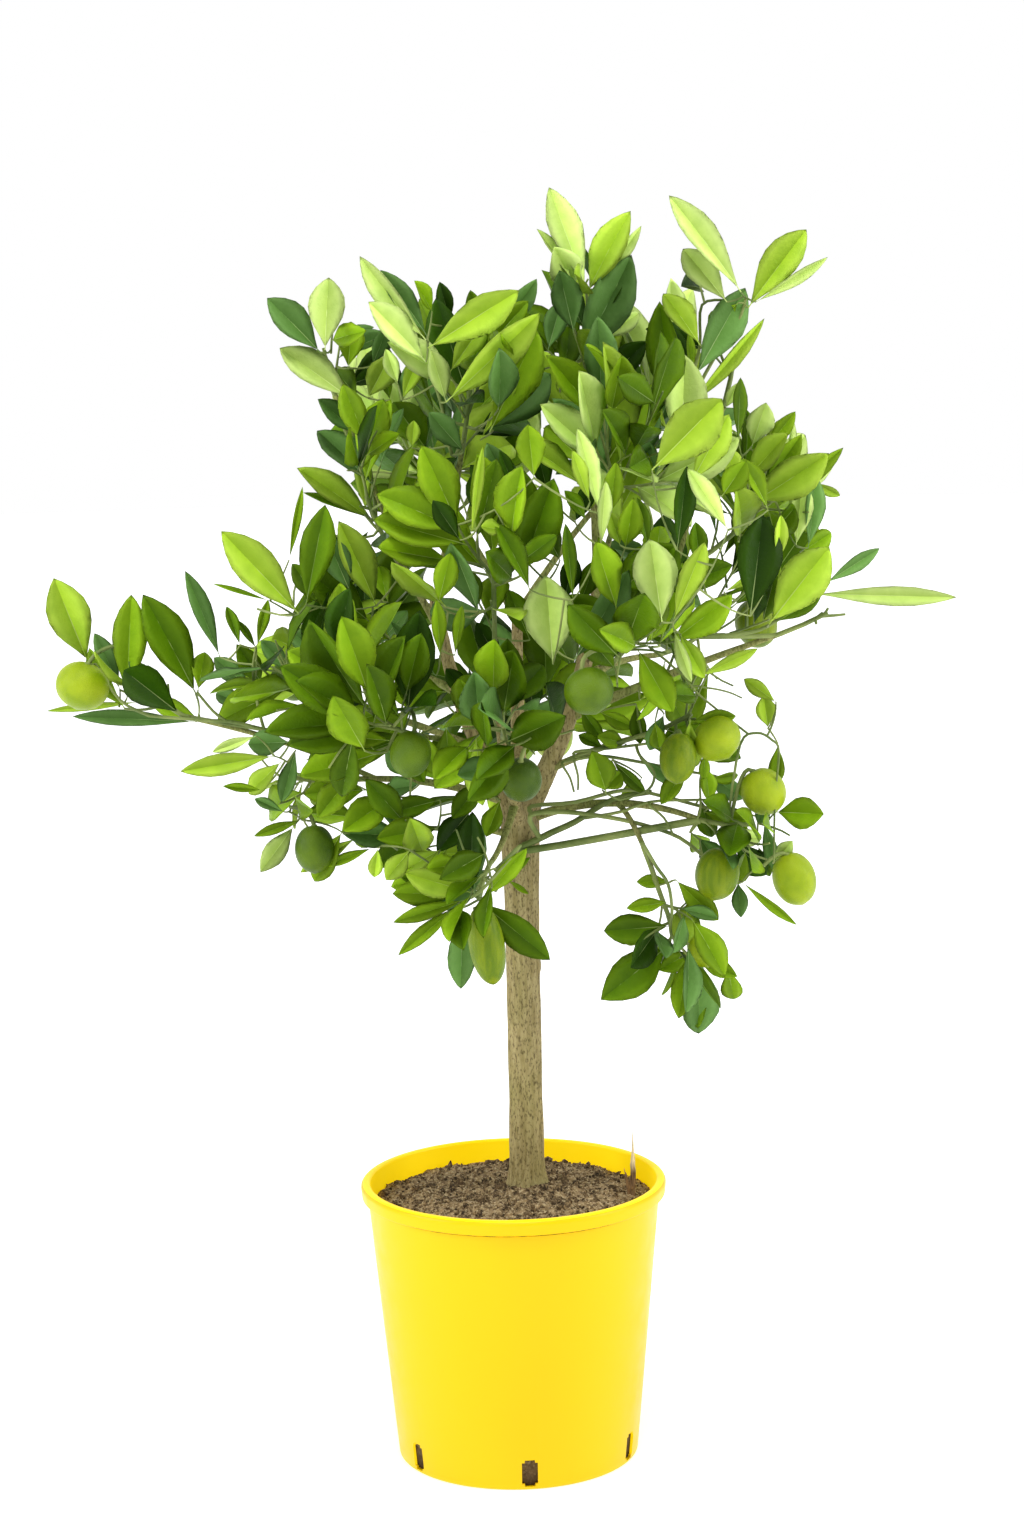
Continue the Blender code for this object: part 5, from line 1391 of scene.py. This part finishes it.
        (690, 722, 736, 716, 40, 0, "mid"), (690, 720, 690, 772, 42, 10, "bright"),
        (705, 752, 704, 780, 40, 0, "mid"), (655, 722, 660, 752, 52, 0, "mid"),
        (664, 708, 656, 672, 55, 0, "mid"), (640, 700, 672, 676, 30, 20, "bright"),
        (710, 806, 706, 770, 50, 20, "mid"), (602, 790, 622, 772, 70, 10, "mid"),
        (606, 792, 596, 756, 70, 10, "mid"), (664, 714, 650, 750, 46, 10, "blue"),
        (688, 768, 660, 802, 44, 20, "mid"), (708, 780, 740, 776, 34, 20, "mid"),
        (706, 772, 744, 800, 38, 10, "blue"), (640, 758, 678, 786, 30, 20, "blue"),
        (612, 760, 646, 794, 30, 20, "deep"), (650, 746, 692, 757, 24, 20, "mid"),
        (626, 744, 598, 736, 46, 10, "mid"), (604, 748, 578, 734, 46, 10, "deep"),
        (636, 704, 640, 744, 44, 10, "deep"), (600, 712, 632, 728, 40, 20, "mid"),
        (580, 706, 602, 742, 40, 20, "deep"), (668, 690, 684, 724, 50, 10, "mid"),
        (694, 724, 708, 756, 46, 10, "deep"), (642, 778, 622, 800, 40, 10, "bright"))),
)
# Where the clouds are leafy in the front view, and round openings in them
LEAFY = (
    ((255, 735), (236, 640), (300, 612), (300, 560), (335, 520), (376, 515), (335, 470),
     (330, 430), (335, 400), (320, 355), (318, 300), (345, 300), (360, 318), (400, 330),
     (412, 285), (440, 300), (470, 300), (510, 300), (535, 300), (548, 262), (560, 220),
     (600, 262), (632, 262), (632, 330), (650, 310), (668, 295), (690, 250), (728, 262),
     (734, 310), (712, 335), (706, 372), (698, 402), (725, 410), (740, 392), (768, 405),
     (796, 415), (842, 446), (830, 475), (815, 500), (830, 545), (832, 560), (828, 576),
     (780, 612), (718, 636), (704, 660), (690, 692), (740, 712), (742, 752), (775, 775),
     (778, 850), (815, 860), (814, 905), (775, 892), (740, 890), (735, 902), (705, 898),
     (698, 860), (700, 800), (690, 762), (640, 745), (600, 740), (560, 738), (540, 768),
     (536, 800), (498, 800), (490, 835), (455, 880), (400, 896), (372, 872), (366, 842),
     (332, 838), (298, 835), (262, 815), (240, 790), (250, 762), (290, 750)),
    ((60, 664), (96, 640), (130, 662), (188, 670), (220, 665), (262, 652), (300, 640), (300, 722),
     (250, 738), (150, 722), (60, 712)),
    ((430, 900), (448, 890), (452, 825), (490, 818), (500, 862), (530, 856), (500, 895),
     (546, 952), (500, 982), (455, 985), (440, 940), (430, 925)),
    ((606, 928), (640, 900), (640, 872), (682, 872), (718, 914), (736, 950), (738, 990),
     (700, 1028), (678, 1012), (652, 985), (610, 992)),
    ((740, 680), (780, 700), (765, 732), (745, 722)),
)
OPENINGS = (   # column, row, radius
    (722, 530, 11), (712, 560, 20), (716, 588, 18), (645, 616, 8), (732, 612, 14), (654, 654, 18),
    (380, 378, 9), (384, 362, 6), (334, 352, 7), (420, 420, 8), (440, 436, 10), (370, 428, 5),
    (405, 470, 7), (455, 494, 10), (452, 512, 9), (462, 560, 17), (392, 576, 13), (402, 472, 6),
    (547, 515, 13), (634, 374, 6), (628, 334, 10), (707, 322, 9),
    (690, 394, 7), (775, 490, 6), (470, 730, 11), (488, 714, 4), (430, 780, 6), (620, 724, 10),
    (590, 740, 12), (640, 770, 14), (500, 822, 12), (452, 808, 8), (312, 655, 9), (690, 612, 7),
    (680, 640, 9), (295, 757, 7), (355, 790, 6), (426, 778, 6), (345, 828, 5), (697, 706, 4),
)


def in_leafy_view(points):
    """Whether places in the tree are all seen inside the leafy parts and in no opening."""
    seen = in_view(points)
    for column, row, radius in OPENINGS:
        if (np.hypot(seen[:, 0] - column, seen[:, 1] - row) < radius).any():
            return False
    for column, row in seen:
        if not any(inside_outline(column, row, outline) for outline in LEAFY):
            return False
    return True


def inside_outline(column, row, outline):
    """Whether a place in the view lies inside an outline, by counting its crossings."""
    inside = False
    for (a, b), (c, d) in zip(outline, outline[1:] + outline[:1]):
        if (b > row) != (d > row) and column < (c - a) * (row - b) / (d - b) + a:
            inside = not inside
    return inside


def frame_of(along, face):
    """Side, face and along directions at right angles, for a leaf."""
    along = along.normalized()
    face = (face - along * face.dot(along)).normalized()
    return face.cross(along), face, along


def outward(place):
    """The level direction away from the stem's line, drawn towards the front or back."""
    away = place - TRUNK_FOOT
    return Vector((FACE_SIDEWAYS * away.x, away.y, 0.0)).normalized()


def leaf_balls(leaf):
    """Balls spread over a leaf's blade, which keep later leaves from cutting through it."""
    side, face, along = frame_of(leaf.along, leaf.face)
    balls = []
    for share in (0.3, 0.5, 0.7, 0.9):
        spread = min(share / LEAF_WIDEST, (1.0 - share) / (1.0 - LEAF_WIDEST)) * leaf.width / 2
        for out in (-0.6, 0.0, 0.6):
            place = (leaf.base + along * (share * leaf.length) + side * (out * spread)
                     + face * (abs(out) * spread * LEAF_FOLD))
            balls.append((*place, LEAF_APART))
    return balls


def leaf_fits(mass, leaf, balls, to_tip):
    """Whether a leaf stays in its space, clear of limbs, fruit and the leaves before it."""
    side, face, along = frame_of(leaf.along, leaf.face)
    half = side * (leaf.width / 2)
    rise = face * (LEAF_FOLD * leaf.width / 2)
    middle = leaf.base + along * (LEAF_WIDEST * leaf.length)
    tip = leaf.base + along * leaf.length
    edges = [middle + half + rise, middle - half + rise, tip, middle]
    if not in_space(mass, edges, to_tip) or not in_leafy_view(edges):
        return False
    offset = balls[:, :3] - np.array(leaf.base)
    run = offset @ np.array(along)
    out = np.abs(offset @ np.array(side))
    lift = offset @ np.array(face)
    share = np.clip(run / leaf.length, 0.0, 1.0)
    spread = np.minimum(share / LEAF_WIDEST, (1.0 - share) / (1.0 - LEAF_WIDEST))
    spread = spread * leaf.width / 2
    near = balls[:, 3] + CLEAR + LEAF_THICKNESS * leaf.length / 2
    fold = LEAF_FOLD * np.minimum(out, spread)
    hits = (run > -near) & (run < leaf.length + near) & (out < spread + near)
    return not bool((hits & (np.abs(lift - fold) < near)).any())


def grow_leaves(mass, twigs, places, leaf_size, seed, balls):
    """Leaves down every twig from its tip, in turns of the golden angle: (twig, leaf)."""
    rng = random.Random(seed)
    turns = [rng.uniform(0.0, math.tau) for _ in twigs]
    wooden = np.array([(k, *ball) for k, twig in enumerate(twigs)
                       for ball in balls_along(*twig[:3])])
    order = [(k, 0) for k in range(len(twigs))]
    order += [(k, n) for k in range(len(twigs)) for n in range(1, len(places))]
    leaves = []
    for k, n in order:
        share, opening, size = places[n]
        base, heading = spot(twigs[k].points, share)
        to_tip = n == 0 and twigs[k].tip is not None
        size = leaf_size * size * rng.uniform(0.88, 1.12)
        width = LEAF_WIDTH * rng.uniform(0.9, 1.08)
        opening = opening * rng.uniform(0.8, 1.15)
        lift = LEAF_LIFT * mass.lift * rng.uniform(0.6, 1.2)
        roll = rng.uniform(-0.7, 0.7)
        beside = np.vstack((near_to(balls, base, LEAF_REACH),
                            near_to(wooden[wooden[:, 0] != k][:, 1:], base, LEAF_REACH)))
        for shrink, nudge in LEAF_TRIES:
            if to_tip:
                along = twigs[k].tip - base
                size = along.length
                turned_by = roll + nudge
            else:
                across = heading.orthogonal().normalized()
                across.rotate(Matrix.Rotation(turns[k] + n * GOLDEN + nudge, 3, heading))
                along = heading * math.cos(opening) + across * math.sin(opening) + UP * lift
                turned_by = roll
            along.normalize()
            face = outward(base + along * size / 2) * 0.9 + UP * 0.5 + heading * 0.4
            face.rotate(Matrix.Rotation(turned_by, 3, along))
            leaf = Leaf(base, along, face, size * shrink, size * shrink * width)
            if leaf_fits(mass, leaf, beside, to_tip):
                leaves.append((k, share, to_tip, leaf))
                balls = np.vstack((balls, leaf_balls(leaf)))
                break
    return leaves, balls


def side_twigs(mass, lines, balls):
    """Short finer twigs off the shoots, inside the cloud and clear of what is there."""
    rng = random.Random(mass.seed + SIDE_SEED)
    fine = []
    for k, line in enumerate(lines):
        turn = rng.uniform(0.0, math.tau)
        for n in range(SIDE_TWIGS):
            start, heading = spot(line.points, 0.20 + 0.72 * n / (SIDE_TWIGS - 1))
            across = heading.orthogonal().normalized()
            across.rotate(Matrix.Rotation(turn + n * GOLDEN, 3, heading))
            opening = rng.uniform(0.7, 1.1)
            aim = heading * math.cos(opening) + across * math.sin(opening) + UP * (0.2 * mass.lift)
            aim.normalize()
            length = mass.leaf * rng.uniform(0.35, 0.62)
            end = start + aim * length
            lean = start + aim * (0.5 * length) + heading * (0.12 * length)
            points = arc(start, lean, end, 4)
            beside = near_to(balls, start, LEAF_REACH)
            if in_space(mass, points) and not touches(beside, points[1:], [SIDE_RADIUS] * 3):
                fine.append((k, Twig(points, SIDE_RADIUS, TWIG_TIP_RADIUS * 0.8)))
    return fine


def dealt(mass, rng):
    """The tone of one spray."""
    low, high = BANDS
    band = "high" if mass.middle[2] > high else "low" if mass.middle[2] < low else "middle"
    mix = SPRAY_MIX[band]
    return rng.choices(list(mix), list(mix.values()))[0]


sprays = {tone: [] for tone in TONES}
seen_balls = []
rng = random.Random(SEEN_SEED)
for name, depth, leaves in SEEN_SPRAYS:
    for n, (*ends, wide, roll, tone) in enumerate(leaves):
        back = depth + n * SEEN_STEP
        base = seen_at(ends[:2], back + rng.uniform(*FOOT_BACK))
        end = seen_at(ends[2:], back + rng.uniform(*TIP_BACK))
        along = end - base
        face = -view_ahead
        face.rotate(Matrix.Rotation(math.radians(roll), 3, along.normalized()))
        start = nearest_wood(carried[name], base)
        if (start - base).length > LEAF_GAP:
            lean = start.lerp(base, 0.6) - along.normalized() * (0.12 * (start - base).length)
            line = Twig(arc(start, lean, base, 6), SIDE_RADIUS * 0.9, TWIG_TIP_RADIUS * 0.6)
            carried[name].append(line)
            wood.append(line)
        leaf = Leaf(base, along.normalized(), face, along.length, along.length * (wide / 100))
        sprays[tone].append(leaf)
        seen_balls += leaf_balls(leaf)
balls = np.array(limb_balls + fruit_balls + seen_balls)
for mass in MASSES:
    rng = random.Random(mass.seed)
    coarse = twigs[mass.name][1:] + twigs[mass.name][:1]
    leaves, filled = grow_leaves(mass, coarse, LEAF_PLACES, mass.leaf, mass.seed + LEAF_SEED,
                                 near_to(balls, mass.middle, CLOUD_REACH))
    lines = shoots[mass.name] + [twigs[mass.name][0]]
    tones = [dealt(mass, rng) for _ in lines]
    for k, share, to_tip, leaf in leaves:
        base = spot(lines[k].points, share)[0]
        along = leaf.base + leaf.along * leaf.length - base if to_tip else leaf.along
        length = along.length if to_tip else leaf.length
        sprays[tones[k]].append(Leaf(base, along.normalized(), leaf.face, length,
                                     leaf.width * BLADE_WIDTH / LEAF_WIDTH))
    fine = side_twigs(mass, lines, filled)
    for k, line in enumerate(shoots[mass.name]):
        used = [share for j, share, *_ in leaves if j == k] + [0.45]
        reach = max(used)
        steps = max(2, math.ceil(reach * FINE_STEPS))
        wood.append(Twig([spot(line.points, reach * n / steps)[0] for n in range(steps + 1)],
                         line.thick, line.thin))
    extra, filled = grow_leaves(mass, [twig for _, twig in fine], SIDE_PLACES,
                                mass.leaf * SIDE_LEAF, mass.seed + SIDE_SEED, filled)
    wood += [fine[k][1] for k in sorted({k for k, *_ in extra})]
    for k, share, to_tip, leaf in extra:
        tone = tones[fine[k][0]] if rng.random() < SAME_TONE else dealt(mass, rng)
        sprays[tone].append(leaf._replace(width=leaf.width * BLADE_WIDTH / LEAF_WIDTH))


def blade_mesh(name, fold, arch, curl, wave, painted_lit_side):
    """A leaf one metre long and wide, from its stalk at the origin along Z: a thin lens,
    creased along its midrib, arched back and a little wavy. It knows how far out it is,
    and on which half, so that one half can be painted lighter and the other darker."""
    verts, faces, across, halves = [], [], [], []
    rows = len(OUTLINE)
    for top in (1, -1):
        for n, (run, half) in enumerate(OUTLINE):
            for c in range(COLUMNS):
                out = -1.0 + 2.0 * c / (COLUMNS - 1)
                rim = abs(out) > 0.99 or n in (0, rows - 1)
                if top < 0 and rim:
                    continue
                x = 0.5 * half * out
                lift = fold * abs(x) - arch * run * run + wave * math.sin(run * 15 + out) * abs(x)
                lift += curl * x * run
                if not rim:
                    lift += top * BLADE_THICKNESS / 2 * (1 - abs(out) * 0.5)
                verts.append((x, lift, run))
                across.append(abs(out))
                halves.append(0.5 + 0.5 * painted_lit_side * ((out > 0.0) - (out < 0.0)))
    top_at = [[n * COLUMNS + c for c in range(COLUMNS)] for n in range(rows)]
    under = [row[:] for row in top_at]
    following = rows * COLUMNS
    for n in range(1, rows - 1):
        for c in range(1, COLUMNS - 1):
            under[n][c] = following
            following += 1
    for n in range(rows - 1):
        for c in range(COLUMNS - 1):
            faces.append((top_at[n][c], top_at[n + 1][c], top_at[n + 1][c + 1], top_at[n][c + 1]))
            faces.append((under[n][c], under[n][c + 1], under[n + 1][c + 1], under[n + 1][c]))
    mesh = bpy.data.meshes.new(name)
    mesh.from_pydata(verts, [], faces)
    mesh.attributes.new("across", "FLOAT", "POINT").data.foreach_set("value", across)
    mesh.attributes.new("halves", "FLOAT", "POINT").data.foreach_set("value", halves)
    bm = bmesh.new()
    bm.from_mesh(mesh)
    bmesh.ops.remove_doubles(bm, verts=bm.verts, dist=0.0001)
    bmesh.ops.recalc_face_normals(bm, faces=bm.faces)
    for edge in bm.edges:
        edge.smooth = any(abs(vert.co.x) > 0.0001 for vert in edge.verts)
    bm.to_mesh(mesh)
    bm.free()
    return mesh


def rib_mesh(name, arch):
    """A leaf's stalk and midrib: a slim spindle that follows the blade's arch."""
    bm = bmesh.new()
    points = [Vector((0.0, -arch * run * run, run))
              for run in (0.0, 0.06, 0.14, 0.30, 0.50, 0.72, 0.94)]
    ring_tube(bm, points, RIB_RADII, 4)
    return mesh_of(name, bm)


def dealing_tree():
    """Leaf forms dealt out over points, each turned, sized and picked as its point says."""
    tree, inside, outside = node_tree("deal_leaves", "GeometryNodeTree", {
        "Geometry": ("Geometry",), "Forms": ("Collection",), "Material": ("Material",)},
        ("Geometry", "Geometry"))
    new = tree.nodes.new
    forms, place = new("GeometryNodeCollectionInfo"), new("GeometryNodeInstanceOnPoints")
    forms.inputs["Separate Children"].default_value = True
    forms.inputs["Reset Children"].default_value = True
    place.inputs["Pick Instance"].default_value = True
    told = {}
    for label, kind in (("turn", "FLOAT_VECTOR"), ("size", "FLOAT_VECTOR"), ("form", "INT")):
        told[label] = new("GeometryNodeInputNamedAttribute")
        told[label].data_type = kind
        told[label].inputs["Name"].default_value = label
    turn, real = new("FunctionNodeEulerToRotation"), new("GeometryNodeRealizeInstances")
    smooth, paint = new("GeometryNodeSetShadeSmooth"), new("GeometryNodeSetMaterial")
    wire(tree, (inside, "Geometry", place, "Points"), (inside, "Forms", forms, "Collection"),
         (forms, "Instances", place, "Instance"), (told["turn"], "Attribute", turn, "Euler"),
         (turn, "Rotation", place, "Rotation"), (told["size"], "Attribute", place, "Scale"),
         (told["form"], "Attribute", place, "Instance Index"),
         (place, "Instances", real, "Geometry"), (real, "Geometry", smooth, "Geometry"),
         (smooth, "Geometry", paint, "Geometry"), (inside, "Material", paint, "Material"),
         (paint, "Geometry", outside, "Geometry"))
    return tree


def leaf_points(name, leaves, rng):
    """A mesh of one point for each leaf, which says how it is turned, sized and formed."""
    mesh = bpy.data.meshes.new(name)
    mesh.from_pydata([leaf.base for leaf in leaves], [], [])
    turns, sizes, forms, shades = [], [], [], []
    for leaf in leaves:
        turns += Matrix(frame_of(leaf.along, leaf.face)).transposed().to_euler()
        sizes += (leaf.width, leaf.width, leaf.length)
        forms.append(rng.randrange(len(FORMS)))
        shades.append(rng.random())
    mesh.attributes.new("turn", "FLOAT_VECTOR", "POINT").data.foreach_set("vector", turns)
    mesh.attributes.new("size", "FLOAT_VECTOR", "POINT").data.foreach_set("vector", sizes)
    mesh.attributes.new("form", "INT", "POINT").data.foreach_set("value", forms)
    mesh.attributes.new("shade", "FLOAT", "POINT").data.foreach_set("value", shades)
    return mesh


def told_by(material, label):
    """What a leaf's own mesh tells about each place on it."""
    tells = material.node_tree.nodes.new("ShaderNodeAttribute")
    tells.attribute_name = label
    return tells.outputs["Fac"]


def leaf_finish(name, rib_tint, margin_tint):
    """Leathery leaf: its tint goes from midrib to margin, patchy, and no two alike;
    one half of each blade is painted lighter and the other darker, as the fold would be lit.
    """
    material = finish_of(name, rib_tint, 0.46, 0.07)
    nodes, links = material.node_tree.nodes, material.node_tree.links
    body = between(material, told_by(material, "across"), rib_tint, margin_tint)
    patches = ranged(material, mottled(material, 85.0, 4.0, 0.35, 0.7), 0.0, 0.6)
    value = nodes.new("ShaderNodeHueSaturation")
    links.new(between(material, patches, body, LEAF_PATCH, "MULTIPLY"), value.inputs["Color"])
    # Painted light: one half of each blade lighter and the other darker, as its fold would be lit.
    side, both = nodes.new("ShaderNodeMath"), nodes.new("ShaderNodeMath")
    side.operation, both.operation = "GREATER_THAN", "MULTIPLY"
    links.new(told_by(material, "halves"), side.inputs[0])
    links.new(ranged(material, told_by(material, "shade"), *LEAF_SHADES), both.inputs[0])
    links.new(ranged(material, side.outputs["Value"], *PAINTED_HALF_LIGHT), both.inputs[1])
    links.new(both.outputs["Value"], value.inputs["Value"])
    feed(material, "Base Color", value.outputs["Color"])
    feed(material, "Roughness", ranged(material, mottled(material, 140.0), 0.38, 0.55))
    raised(material, mottled(material, 420.0, 3.0, 0.3, 0.7), 0.0002)
    return material


FORMS = (   # fold, arch, curl, wave, side of the half painted lighter
    (0.40, 0.10, 0.00, 0.00, 1),
    (0.55, 0.24, 0.12, 0.06, -1),
    (0.30, -0.08, -0.15, 0.08, -1),
    (0.48, 0.38, -0.08, 0.04, 1),
)
blade_forms = bpy.data.collections.new("blade_forms")
rib_forms = bpy.data.collections.new("rib_forms")
for n, form in enumerate(FORMS):
    blade_forms.objects.link(bpy.data.objects.new(f"blade_{n}", blade_mesh(f"blade_{n}", *form)))
    rib_forms.objects.link(bpy.data.objects.new(f"rib_{n}", rib_mesh(f"rib_{n}", form[1])))

deal = dealing_tree()
rng = random.Random(FORM_SEED)
points = {tone: leaf_points("leaves_" + tone, leaves, rng) for tone, leaves in sprays.items()}
blades = [made_by(deal, "leaves_" + tone, mesh, Forms=blade_forms,
                  Material=leaf_finish("leaf_" + tone, *TONES[tone]))
          for tone, mesh in points.items()]


def rib_finish(name, tint):
    """Midrib and stalk: paler and yellower than the blade that they carry."""
    material = finish_of(name, tint, 0.55)
    paler = tuple(part + (goal - part) * RIB_PALER for part, goal in zip(tint, RIB_TINT))
    feed(material, "Base Color", between(material, mottled(material, 40.0), tint, paler))
    return material


ribs = [made_by(deal, "ribs_" + tone, mesh.copy(), Forms=rib_forms,
                Material=rib_finish("rib_" + tone, TONES[tone][1]))
        for tone, mesh in points.items()]

green_twig = finish_of("green_twig", TWIG_MEAN, 0.65)
feed(green_twig, "Base Color", between(green_twig, mottled(green_twig, 30.0, 4.0), TWIG_DARK,
                                       TWIG_PALE))
raised(green_twig, mottled(green_twig, 500.0, 4.0, stretch=(1.0, 1.0, 0.3)), 0.0002)
twig_piece = made_by(twig_tree(), "twigs", polylines("twigs", wood), Sides=TWIG_SIDES,
                     Material=green_twig)
fruit_buttons.data.materials.append(green_twig)

for piece in (*blades, *ribs, twig_piece, *fruit_pieces, fruit_buttons):
    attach(piece, "root")
    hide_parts(*[mass.name for mass in MASSES])

# ------------------------------------------------------------------ floor, lights, camera
# A pale floor that fades to white with distance, four soft lamps and a white surround.

LAMPS = (   # name, place, size, watts
    ("lamp_left", (-1.7, -0.6, 1.3), 1.0, 21.0),
    ("lamp_right", (1.7, -0.4, 1.2), 1.0, 19.0),
    ("lamp_front", (-0.6, -2.2, 2.2), 1.0, 7.0),
    ("lamp_top", (0.1, -0.8, 2.5), 1.2, 25.0),
)
LAMPS_AIM = Vector((0.0, 0.0, 0.55))
FLOOR_TINT = (0.80, 0.80, 0.80)
FLOOR_GLOW = 0.52                 # at the pot; it rises to white between two distances
FADE_FROM = 0.10
FADE_TO = 1.20
SOFT_FILL = 0.34                  # the surround's light on what isn't shiny

bm = bmesh.new()
bmesh.ops.create_circle(bm, cap_ends=True, segments=96, radius=9.0)
floor = put("floor", mesh_of("floor", bm))
pale_floor = finish_of("pale_floor", FLOOR_TINT, 0.6)
shader_of(pale_floor).inputs["Emission Color"].default_value = (1.0, 1.0, 1.0, 1.0)
nodes = pale_floor.node_tree.nodes
place, away = nodes.new("ShaderNodeTexCoord"), nodes.new("ShaderNodeVectorMath")
away.operation = "LENGTH"
fade = nodes.new("ShaderNodeMapRange")
fade.interpolation_type = "SMOOTHSTEP"
for label, value in (("From Min", FADE_FROM), ("From Max", FADE_TO), ("To Min", FLOOR_GLOW),
                     ("To Max", 1.0)):
    fade.inputs[label].default_value = value
wire(pale_floor.node_tree, (place, "Object", away, 0), (away, "Value", fade, "Value"))
feed(pale_floor, "Emission Strength", fade.outputs["Result"])
floor.data.materials.append(pale_floor)

for name, location, size, power in LAMPS:
    lamp = bpy.data.lights.new(name, "AREA")
    lamp.size = size
    lamp.energy = power
    shown = bpy.data.objects.new(name, lamp)
    shown.location = location
    shown.rotation_euler = (LAMPS_AIM - Vector(location)).to_track_quat("-Z", "Y").to_euler()
    bpy.context.scene.collection.objects.link(shown)

world = bpy.data.worlds.new("white_surround")
bpy.context.scene.world = world
world.use_nodes = True
nodes = world.node_tree.nodes
seen, shiny = nodes.new("ShaderNodeLightPath"), nodes.new("ShaderNodeMath")
shiny.operation = "MAXIMUM"
level = nodes.new("ShaderNodeMapRange")
level.inputs["To Min"].default_value = SOFT_FILL
level.inputs["To Max"].default_value = 1.0
wire(world.node_tree, (seen, "Is Camera Ray", shiny, 0), (seen, "Is Glossy Ray", shiny, 1),
     (shiny, "Value", level, "Value"), (level, "Result", nodes["Background"], "Strength"))
nodes["Background"].inputs["Color"].default_value = (1.0, 1.0, 1.0, 1.0)

eye = bpy.data.cameras.new("camera")
eye.lens = LENS
eye.sensor_fit = "VERTICAL"
eye.sensor_height = SENSOR
camera = bpy.data.objects.new("camera", eye)
camera.matrix_world = (Matrix.Translation(CAMERA_PLACE)
                       @ Matrix((view_right, view_up, -view_ahead)).transposed().to_4x4())
bpy.context.scene.collection.objects.link(camera)
bpy.context.scene.camera = camera
bpy.context.scene.view_settings.view_transform = "Standard"
